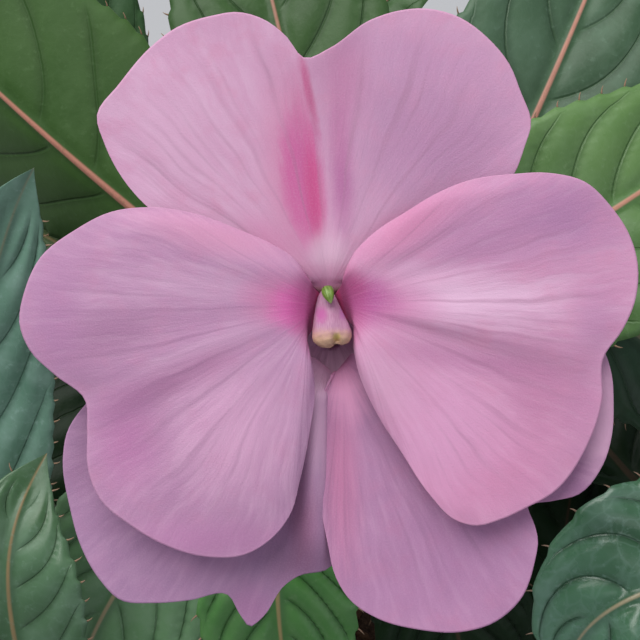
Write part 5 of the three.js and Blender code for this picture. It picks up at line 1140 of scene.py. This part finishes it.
def make_pedicel():
    B = V(PEDICEL)
    n = 90
    t = np.linspace(0, 1, n)
    P = to_world(bez(B, t))
    # run the stalk on into the shoot it grows from
    S = bez(V(STEMS["stem_main"][0]), np.linspace(0, 1, 300))
    j = int(np.argmin(np.linalg.norm(S - P[-1] + V([0, 0, 2.0]), axis=1)))
    k = np.linspace(0, 1, 10)[1:, None]
    d0 = unit(P[-1] - P[-2])
    ln = np.linalg.norm(S[j] - P[-1])
    H = (2 * k**3 - 3 * k**2 + 1) * P[-1] + (k**3 - 2 * k**2 + k) * d0 * ln + (-2 * k**3 + 3 * k**2) * S[j] + (k**3 - k**2) * unit(S[j] - P[-1]) * ln
    P = np.vstack([P, H])
    L = np.concatenate([[0], np.cumsum(np.linalg.norm(np.diff(P, axis=0), axis=1))])
    r = 1.08 + 0.95 * np.exp(-((L / 2.2) ** 2)) + 0.25 * np.exp(-(((L - 12) / 3) ** 2)) * 0 + 0.3 * sm(L, L[-1] - 5, L[-1])
    q = np.arange(20) * 2 * math.pi / 20
    wob = 1 + 0.03 * np.cos(5 * q[None] + 0.08 * L[:, None])
    verts, faces, uv = tube_rings(P, r, r, 20, wob=wob)
    b = Build(["along"])
    b.add(verts, faces, 0, {"along": uv})
    # receptacle that closes the throat behind the petals' claws; its deep burgundy is partly the throat's own colour
    # and partly painted shade of the recess
    tq = np.linspace(0, 1, 12)
    prof_r = np.array([0.2, 1.2, 2.0, 2.5, 2.75, 2.7, 2.5, 2.2, 1.9, 1.6, 1.35, 1.1])
    prof_z = np.array([-7.75, -7.72, -7.74, -7.85, -8.15, -8.5, -8.8, -9.15, -9.5, -9.9, -10.3, -10.8])
    qq = np.arange(40) * 2 * math.pi / 40
    G = np.stack([0.95 + prof_r[:, None] * np.cos(qq) * (1 + 0.04 * np.cos(5 * qq)), 2.2 + prof_r[:, None] * np.sin(qq) * 0.92, np.broadcast_to(prof_z[:, None], (12, 40))], -1)
    G2 = to_world(G)
    vv = np.vstack([G2.reshape(-1, 3), G2[0].mean(0)[None], G2[-1].mean(0)[None]])
    ff = []
    for i in range(11):
        for jj in range(40):
            k2 = (jj + 1) % 40
            ff.append((i * 40 + jj, i * 40 + k2, (i + 1) * 40 + k2, (i + 1) * 40 + jj))
    for jj in range(40):
        k2 = (jj + 1) % 40
        ff.append((480, k2, jj))
        ff.append((481, 440 + jj, 440 + k2))
    b.add(vv, ff, 1, {"along": np.zeros((len(vv), 2))})
    m1 = simple_material("pedicel_skin", lin(142, 84, 74), lin(128, 100, 66), lin(116, 124, 74), 300.0, (0.4, 0.55), stretch=(1.0, 1.0, 0.15), trans=0.08, streak=0.6)
    m2 = simple_material("receptacle_skin", lin(96, 22, 50), lin(70, 16, 34), lin(120, 40, 70), 900.0, (0.45, 0.6), bump=0.0001)
    adopt(b.make("pedicel_skin", [m1, m2]), "pedicel")


for k_, S_ in STEMS.items():
    make_stem(k_, S_)
make_pedicel()


# ------------------------------------------------------------------ pot
def fillet(P, R, n=6):
    """round the corners of a profile; R gives a radius for each point"""
    out = []
    P = np.array(P, float)
    for i, p in enumerate(P):
        if i in (0, len(P) - 1) or R[i] <= 0:
            out.append(p)
            continue
        a, c = P[i - 1] - p, P[i + 1] - p
        la, lc = np.linalg.norm(a), np.linalg.norm(c)
        a, c = a / la, c / lc
        ang = math.acos(max(-1, min(1, float(a @ c))))
        d = min(R[i] / math.tan(ang / 2), 0.45 * la, 0.45 * lc)
        p0, p1 = p + a * d, p + c * d
        for k in np.linspace(0, 1, n):
            out.append((1 - k) ** 2 * p0 + 2 * k * (1 - k) * p + k * k * p1)
    return np.array(out)


def inner_r(z):
    return 43 - 2.2 + (58.6 - 43) * z / 95


def make_pot():
    prof = [[0, 0.0], [40.6, 0.0], [42.2, 0.35], [43, 1.5], [44.6, 11.0], [58.2, 92.6], [58.6, 95], [62.3, 96.2], [63.4, 108], [64, 109.6], [64, 111.8], [62.8, 113],
            [60.6, 113], [59.7, 111.8], [inner_r(99), 99], [inner_r(5), 5], [inner_r(3) - 2, 3], [0, 3]]
    rad = [0, 0.6, 0.8, 0.9, 0, 1.0, 1.1, 1.0, 0.5, 0.7, 0.8, 0.9, 0.9, 0.8, 1.4, 2.0, 1.4, 0]
    P = fillet(prof, rad)
    # long straight runs get extra rings so the wall can carry faint mould waves
    Q = [P[0]]
    for a, c in zip(P[:-1], P[1:]):
        k = max(1, int(np.linalg.norm(c - a) / 6))
        Q += [a + (c - a) * (i + 1) / k for i in range(k)]
    P = np.array(Q)
    n = 144
    th = np.arange(n) * 2 * math.pi / n
    m = len(P)
    verts, faces = [], []
    ring = {}
    for i, (r, z) in enumerate(P):
        if r < 1e-6:
            ring[i] = [len(verts)]
            verts.append((0, 0, z))
        else:
            ring[i] = list(range(len(verts), len(verts) + n))
            rr = r + (0.05 * np.sin(th * 2 + z * 0.03) if 3 < z < 112 else 0 * th)
            verts += [(rr[j] * math.cos(th[j]), rr[j] * math.sin(th[j]), z) for j in range(n)]
    for i in range(m - 1):
        A, B = ring[i], ring[i + 1]
        for j in range(n):
            k = (j + 1) % n
            if len(A) == 1 and len(B) > 1:
                faces.append((A[0], B[k], B[j]))
            elif len(B) == 1 and len(A) > 1:
                faces.append((A[j], A[k], B[0]))
            elif len(A) > 1:
                faces.append((A[j], A[k], B[k], B[j]))
    s = Nodes("pot_plastic_skin")
    ob = s.obj()
    sep = s.n("ShaderNodeSeparateXYZ")
    s.link(ob, sep.inputs[0])
    z = sep.outputs[2]
    big = s.noise(ob, 22.0, 4, 0.6)
    mid = s.noise(ob, 120.0, 4, 0.6)
    gr = s.noise(ob, 2200.0, 3, 0.6)
    rub = s.noise(s.scaled(ob, 1, 1, 0.12), 300.0, 3, 0.7)
    hor = s.noise(s.scaled(ob, 0.05, 0.05, 1.0), 900.0, 2, 0.5)
    col = s.mix(s.range(big, 0.35, 0.65), lin(158, 84, 56), lin(172, 96, 66))
    col = s.mix(s.range(mid, 0.5, 0.75, 0.0, 0.25), col, lin(190, 122, 92))
    col = s.mix(s.range(rub, 0.62, 0.72, 0.0, 0.35), col, lin(200, 142, 114))
    # dusty film low on the wall, splashes of mix under the rim
    dust = s.math("MULTIPLY", s.range(z, 0.030, 0.0, 0.0, 1.0), s.range(mid, 0.35, 0.6))
    col = s.mix(s.math("MULTIPLY", dust, 0.5), col, lin(150, 128, 106))
    spl = s.n("ShaderNodeTexVoronoi", feature="F1")
    s.link(ob, spl.inputs["Vector"])
    spl.inputs["Scale"].default_value = 260.0
    dots = s.math("MULTIPLY", s.range(spl.outputs["Distance"], 0.16, 0.05, 0.0, 1.0), s.range(big, 0.52, 0.66))
    col = s.mix(s.math("MULTIPLY", dots, 0.7), col, lin(74, 52, 38))
    h = s.math("ADD", s.math("MULTIPLY", gr, 0.5), s.math("ADD", s.math("MULTIPLY", hor, 0.35), s.math("MULTIPLY", mid, 0.6)))
    nrm = s.bump(h, 0.00012, 0.8)
    rough = s.math("ADD", s.range(mid, 0.3, 0.7, 0.42, 0.56, smooth=False), s.math("MULTIPLY", dust, 0.25))
    mat = s.finish(s.principled(col, rough, nrm, Specular_IOR_Level=0.5))
    pot = mesh_object("pot_skin", verts, faces, [mat])
    # drain holes with a softened lip
    cv, cf = [], []
    for i in range(8):
        a0 = 2 * math.pi * i / 8
        base = len(cv)
        k = 28
        for (r, zz) in [(4.7, -0.6), (4.7, 0.0), (4.2, 0.55), (4.2, 2.6), (4.55, 3.05), (4.55, 4.2)]:
            for j in range(k):
                b_ = 2 * math.pi * j / k
                cv.append((32 * math.cos(a0) + r * math.cos(b_), 32 * math.sin(a0) + r * math.sin(b_), zz))
        for l in range(5):
            for j in range(k):
                j2 = (j + 1) % k
                cf.append((base + l * k + j, base + l * k + j2, base + (l + 1) * k + j2, base + (l + 1) * k + j))
        cf.append(tuple(base + j for j in reversed(range(k))))
        cf.append(tuple(base + 5 * k + j for j in range(k)))
    cut = mesh_object("cutter", cv, cf, [mat], smooth=False)
    mod = pot.modifiers.new("holes", "BOOLEAN")
    mod.operation = "DIFFERENCE"
    mod.solver = "EXACT"
    mod.object = cut
    dg = bpy.context.evaluated_depsgraph_get()
    me = bpy.data.meshes.new_from_object(pot.evaluated_get(dg))
    old = pot.data
    pot.modifiers.clear()
    pot.data = me
    bpy.data.meshes.remove(old)
    cm = cut.data
    bpy.data.objects.remove(cut)
    bpy.data.meshes.remove(cm)
    bm = bmesh.new()
    bm.from_mesh(me)
    for e in bm.edges:
        if len(e.link_faces) == 2 and e.calc_face_angle(0) > 0.6:
            e.smooth = False
    for f in bm.faces:
        f.smooth = True
    bm.to_mesh(me)
    bm.free()
    adopt(pot, "pot")


make_pot()


# ------------------------------------------------------------------ potting mix
def make_soil():
    from mathutils import noise as mn
    rng = random.Random(41)
    R = inner_r(99) - 0.4
    b = Build(["grain"])

    def top_z(x, y):
        r = math.hypot(x, y)
        base = 99 + 2.6 * (1 - min(1, r / 56) ** 1.6)
        p = Vector((x * 0.09, y * 0.09, 1.7))
        q = Vector((x * 0.35, y * 0.35, 4.2))
        w = Vector((x * 1.1, y * 1.1, 9.1))
        return base + 0.8 * mn.noise(p) + 0.45 * mn.noise(q) + 0.28 * mn.noise(w) - (0.6 if r > 53 else 0) * (r - 53) / 3.3

    nr, na = 46, 150
    verts, faces = [(0, 0, top_z(0, 0))], []
    for i in range(1, nr + 1):
        r = R * (i / nr)
        for j in range(na):
            a = 2 * math.pi * j / na
            x, y = r * math.cos(a), r * math.sin(a)
            verts.append((x, y, top_z(x, y)))
    for j in range(na):
        faces.append((0, 1 + j, 1 + (j + 1) % na))
    for i in range(nr - 1):
        for j in range(na):
            k = (j + 1) % na
            faces.append((1 + i * na + j, 1 + (i + 1) * na + j, 1 + (i + 1) * na + k, 1 + i * na + k))
    last = 1 + (nr - 1) * na
    for (z, rr) in [(90, inner_r(90) - 0.4), (60, inner_r(60) - 0.4), (30, inner_r(30) - 0.4), (6, inner_r(6) - 0.4), (3.4, inner_r(3) - 3)]:
        st = len(verts)
        for j in range(na):
            a = 2 * math.pi * j / na
            verts.append((rr * math.cos(a), rr * math.sin(a), z))
        for j in range(na):
            k = (j + 1) % na
            faces.append((last + j, st + j, st + k, last + k))
        last = st
    verts.append((0, 0, 3.4))
    for j in range(na):
        faces.append((len(verts) - 1, last + (j + 1) % na, last + j))
    b.add(verts, faces, 0, {"grain": np.tile([0.1, 0.5], (len(verts), 1))})

    bm = bmesh.new()
    bmesh.ops.create_icosphere(bm, subdivisions=1, radius=1.0)
    bm.verts.ensure_lookup_table()
    ico = np.array([v.co for v in bm.verts])
    icof = [tuple(v.index for v in f.verts) for f in bm.faces]
    bm.free()
    bm = bmesh.new()
    bmesh.ops.create_icosphere(bm, subdivisions=2, radius=1.0)
    ico2 = np.array([v.co for v in bm.verts])
    icof2 = [tuple(v.index for v in f.verts) for f in bm.faces]
    bm.free()
    roots = [V(S[0])[0] for S in STEMS.values()]

    def lump(kind, rad, flat, lng, tone, hi=False):
        for _ in range(20):
            a = rng.uniform(0, 2 * math.pi)
            rr = math.sqrt(rng.random()) * (R - rad * lng - 0.8)
            x, y = rr * math.cos(a), rr * math.sin(a)
            if all(math.hypot(x - q[0], y - q[1]) > 6.5 for q in roots):
                break
        base = ico2 if hi else ico
        ff = icof2 if hi else icof
        sx, sy, sz = rad * lng, rad * rng.uniform(0.75, 1.0), rad * flat
        seedv = Vector((rng.uniform(0, 50), rng.uniform(0, 50), rng.uniform(0, 50)))
        pts = []
        for p in base:
            k = 1 + 0.42 * mn.noise(Vector(p) * 1.3 + seedv) + 0.16 * mn.noise(Vector(p) * 3.1 + seedv)
            pts.append((p[0] * sx * k, p[1] * sy * k, p[2] * sz * k))
        pts = np.array(pts)
        rz, rx = rng.uniform(0, 6.28), rng.uniform(-0.5, 0.5)
        cz, sz_, cx, sx_ = math.cos(rz), math.sin(rz), math.cos(rx), math.sin(rx)
        Rm = np.array([[cz, -sz_, 0], [sz_, cz, 0], [0, 0, 1]]) @ np.array([[1, 0, 0], [0, cx, -sx_], [0, sx_, cx]])
        pts = pts @ Rm.T + [x, y, top_z(x, y) + rad * flat * rng.uniform(-0.1, 0.45)]
        b.add(pts, ff, 0, {"grain": np.tile([kind, tone], (len(pts), 1))})

    for _ in range(560):
        lump(0.3, rng.uniform(0.35, 0.9), rng.uniform(0.6, 1.0), rng.uniform(0.9, 1.5), rng.random())
    for _ in range(170):
        lump(0.3, rng.uniform(0.8, 1.7), rng.uniform(0.5, 0.9), rng.uniform(0.9, 1.6), rng.random(), hi=True)
    for _ in range(70):
        lump(0.5, rng.uniform(0.6, 1.1), rng.uniform(0.2, 0.4), rng.uniform(2.0, 4.2), rng.random(), hi=True)
    for _ in range(60):
        lump(0.7, rng.uniform(0.6, 1.4), rng.uniform(0.7, 1.0), rng.uniform(0.9, 1.2), rng.random(), hi=True)
    for _ in range(60):
        lump(0.9, rng.uniform(0.16, 0.26), 1.0, rng.uniform(12, 30), rng.random())
    s = Nodes("potting_mix_skin")
    ob = s.obj()
    kind, tone, _ = s.uv("grain")
    n1 = s.noise(ob, 180.0, 4, 0.65)
    n2 = s.noise(ob, 1300.0, 4, 0.65)
    fib = s.noise(s.scaled(ob, 1.0, 0.2, 1.0), 1500.0, 3, 0.7)
    peat = s.mix(s.range(n1, 0.3, 0.7), lin(46, 32, 24), lin(72, 52, 38))
    peat = s.mix(s.range(n2, 0.45, 0.75, 0.0, 0.6), peat, lin(98, 74, 54))
    crumb = s.mix(tone, lin(38, 27, 21), lin(92, 66, 47))
    crumb = s.mix(s.range(n2, 0.45, 0.75, 0.0, 0.5), crumb, lin(110, 84, 60))
    bark = s.mix(s.range(fib, 0.3, 0.7), lin(88, 58, 38), lin(138, 100, 70))
    perl = s.mix(s.range(n2, 0.3, 0.7), lin(216, 212, 202), lin(238, 236, 230))
    root = s.mix(tone, lin(150, 122, 88), lin(112, 84, 58))
    col = s.mix(s.math("GREATER_THAN", kind, 0.2), peat, crumb)
    col = s.mix(s.math("GREATER_THAN", kind, 0.4), col, bark)
    col = s.mix(s.math("GREATER_THAN", kind, 0.6), col, perl)
    col = s.mix(s.math("GREATER_THAN", kind, 0.8), col, root)
    nrm = s.bump(s.math("ADD", n2, s.math("MULTIPLY", fib, 0.5)), 0.0004, 0.9)
    mat = s.finish(s.principled(col, s.range(n1, 0.3, 0.7, 0.78, 0.95, smooth=False), nrm, Specular_IOR_Level=0.25))
    adopt(b.make("soil_skin", [mat]), "soil")


make_soil()

# ------------------------------------------------------------------ camera and light
ROOM = 0.001
cam = bpy.data.cameras.new("camera")
cam.sensor_width = 36.0
cam.sensor_fit = "HORIZONTAL"
cam.lens = 36.0 * 180.0 / (0.1131 * 640.0)
cam.clip_start = 0.005
cam.clip_end = 10
camera = bpy.data.objects.new("camera", cam)
cpos = FPOS + FN * 180.0
camera.location = tuple(cpos * ROOM)
camera.rotation_euler = (TILT, 0, 0)
scene.collection.objects.link(camera)
scene.camera = camera

world = bpy.data.worlds.new("studio")
world.use_nodes = True
world.node_tree.nodes["Background"].inputs[0].default_value = (0.84, 0.90, 1.0, 1)
world.node_tree.nodes["Background"].inputs[1].default_value = 0.36
scene.world = world


def area(name, loc, aim, size, power, color):
    li = bpy.data.lights.new(name, "AREA")
    li.shape = "SQUARE"
    li.size = size
    li.energy = power
    li.color = color
    o = bpy.data.objects.new(name, li)
    o.location = loc
    o.rotation_euler = (Vector(aim) - Vector(loc)).to_track_quat("-Z", "Y").to_euler()
    scene.collection.objects.link(o)
    return o


area("key", (-0.4, 0.35, 1.3), (0, -0.02, 0.2), 1.3, 22.5, (1.0, 0.985, 0.96))
area("fill", (0.7, -0.75, 1.0), (0, 0, 0.18), 1.0, 2.5, (0.9, 0.95, 1.0))

s = Nodes("floor_paper")
ob = s.obj()
nz = s.noise(ob, 6.0, 3, 0.5)
gr = s.noise(ob, 600.0, 2, 0.5)
fc = s.mix(s.range(nz, 0.3, 0.7), (0.40, 0.405, 0.42), (0.43, 0.435, 0.45))
floor_mat = s.finish(s.principled(fc, 0.85, s.bump(gr, 0.0001, 0.3)))
floor = mesh_object("floor_sheet", [[-1500, -1500, 0], [1500, -1500, 0], [1500, 1500, 0], [-1500, 1500, 0]], [(0, 1, 2, 3)], [floor_mat], smooth=False)
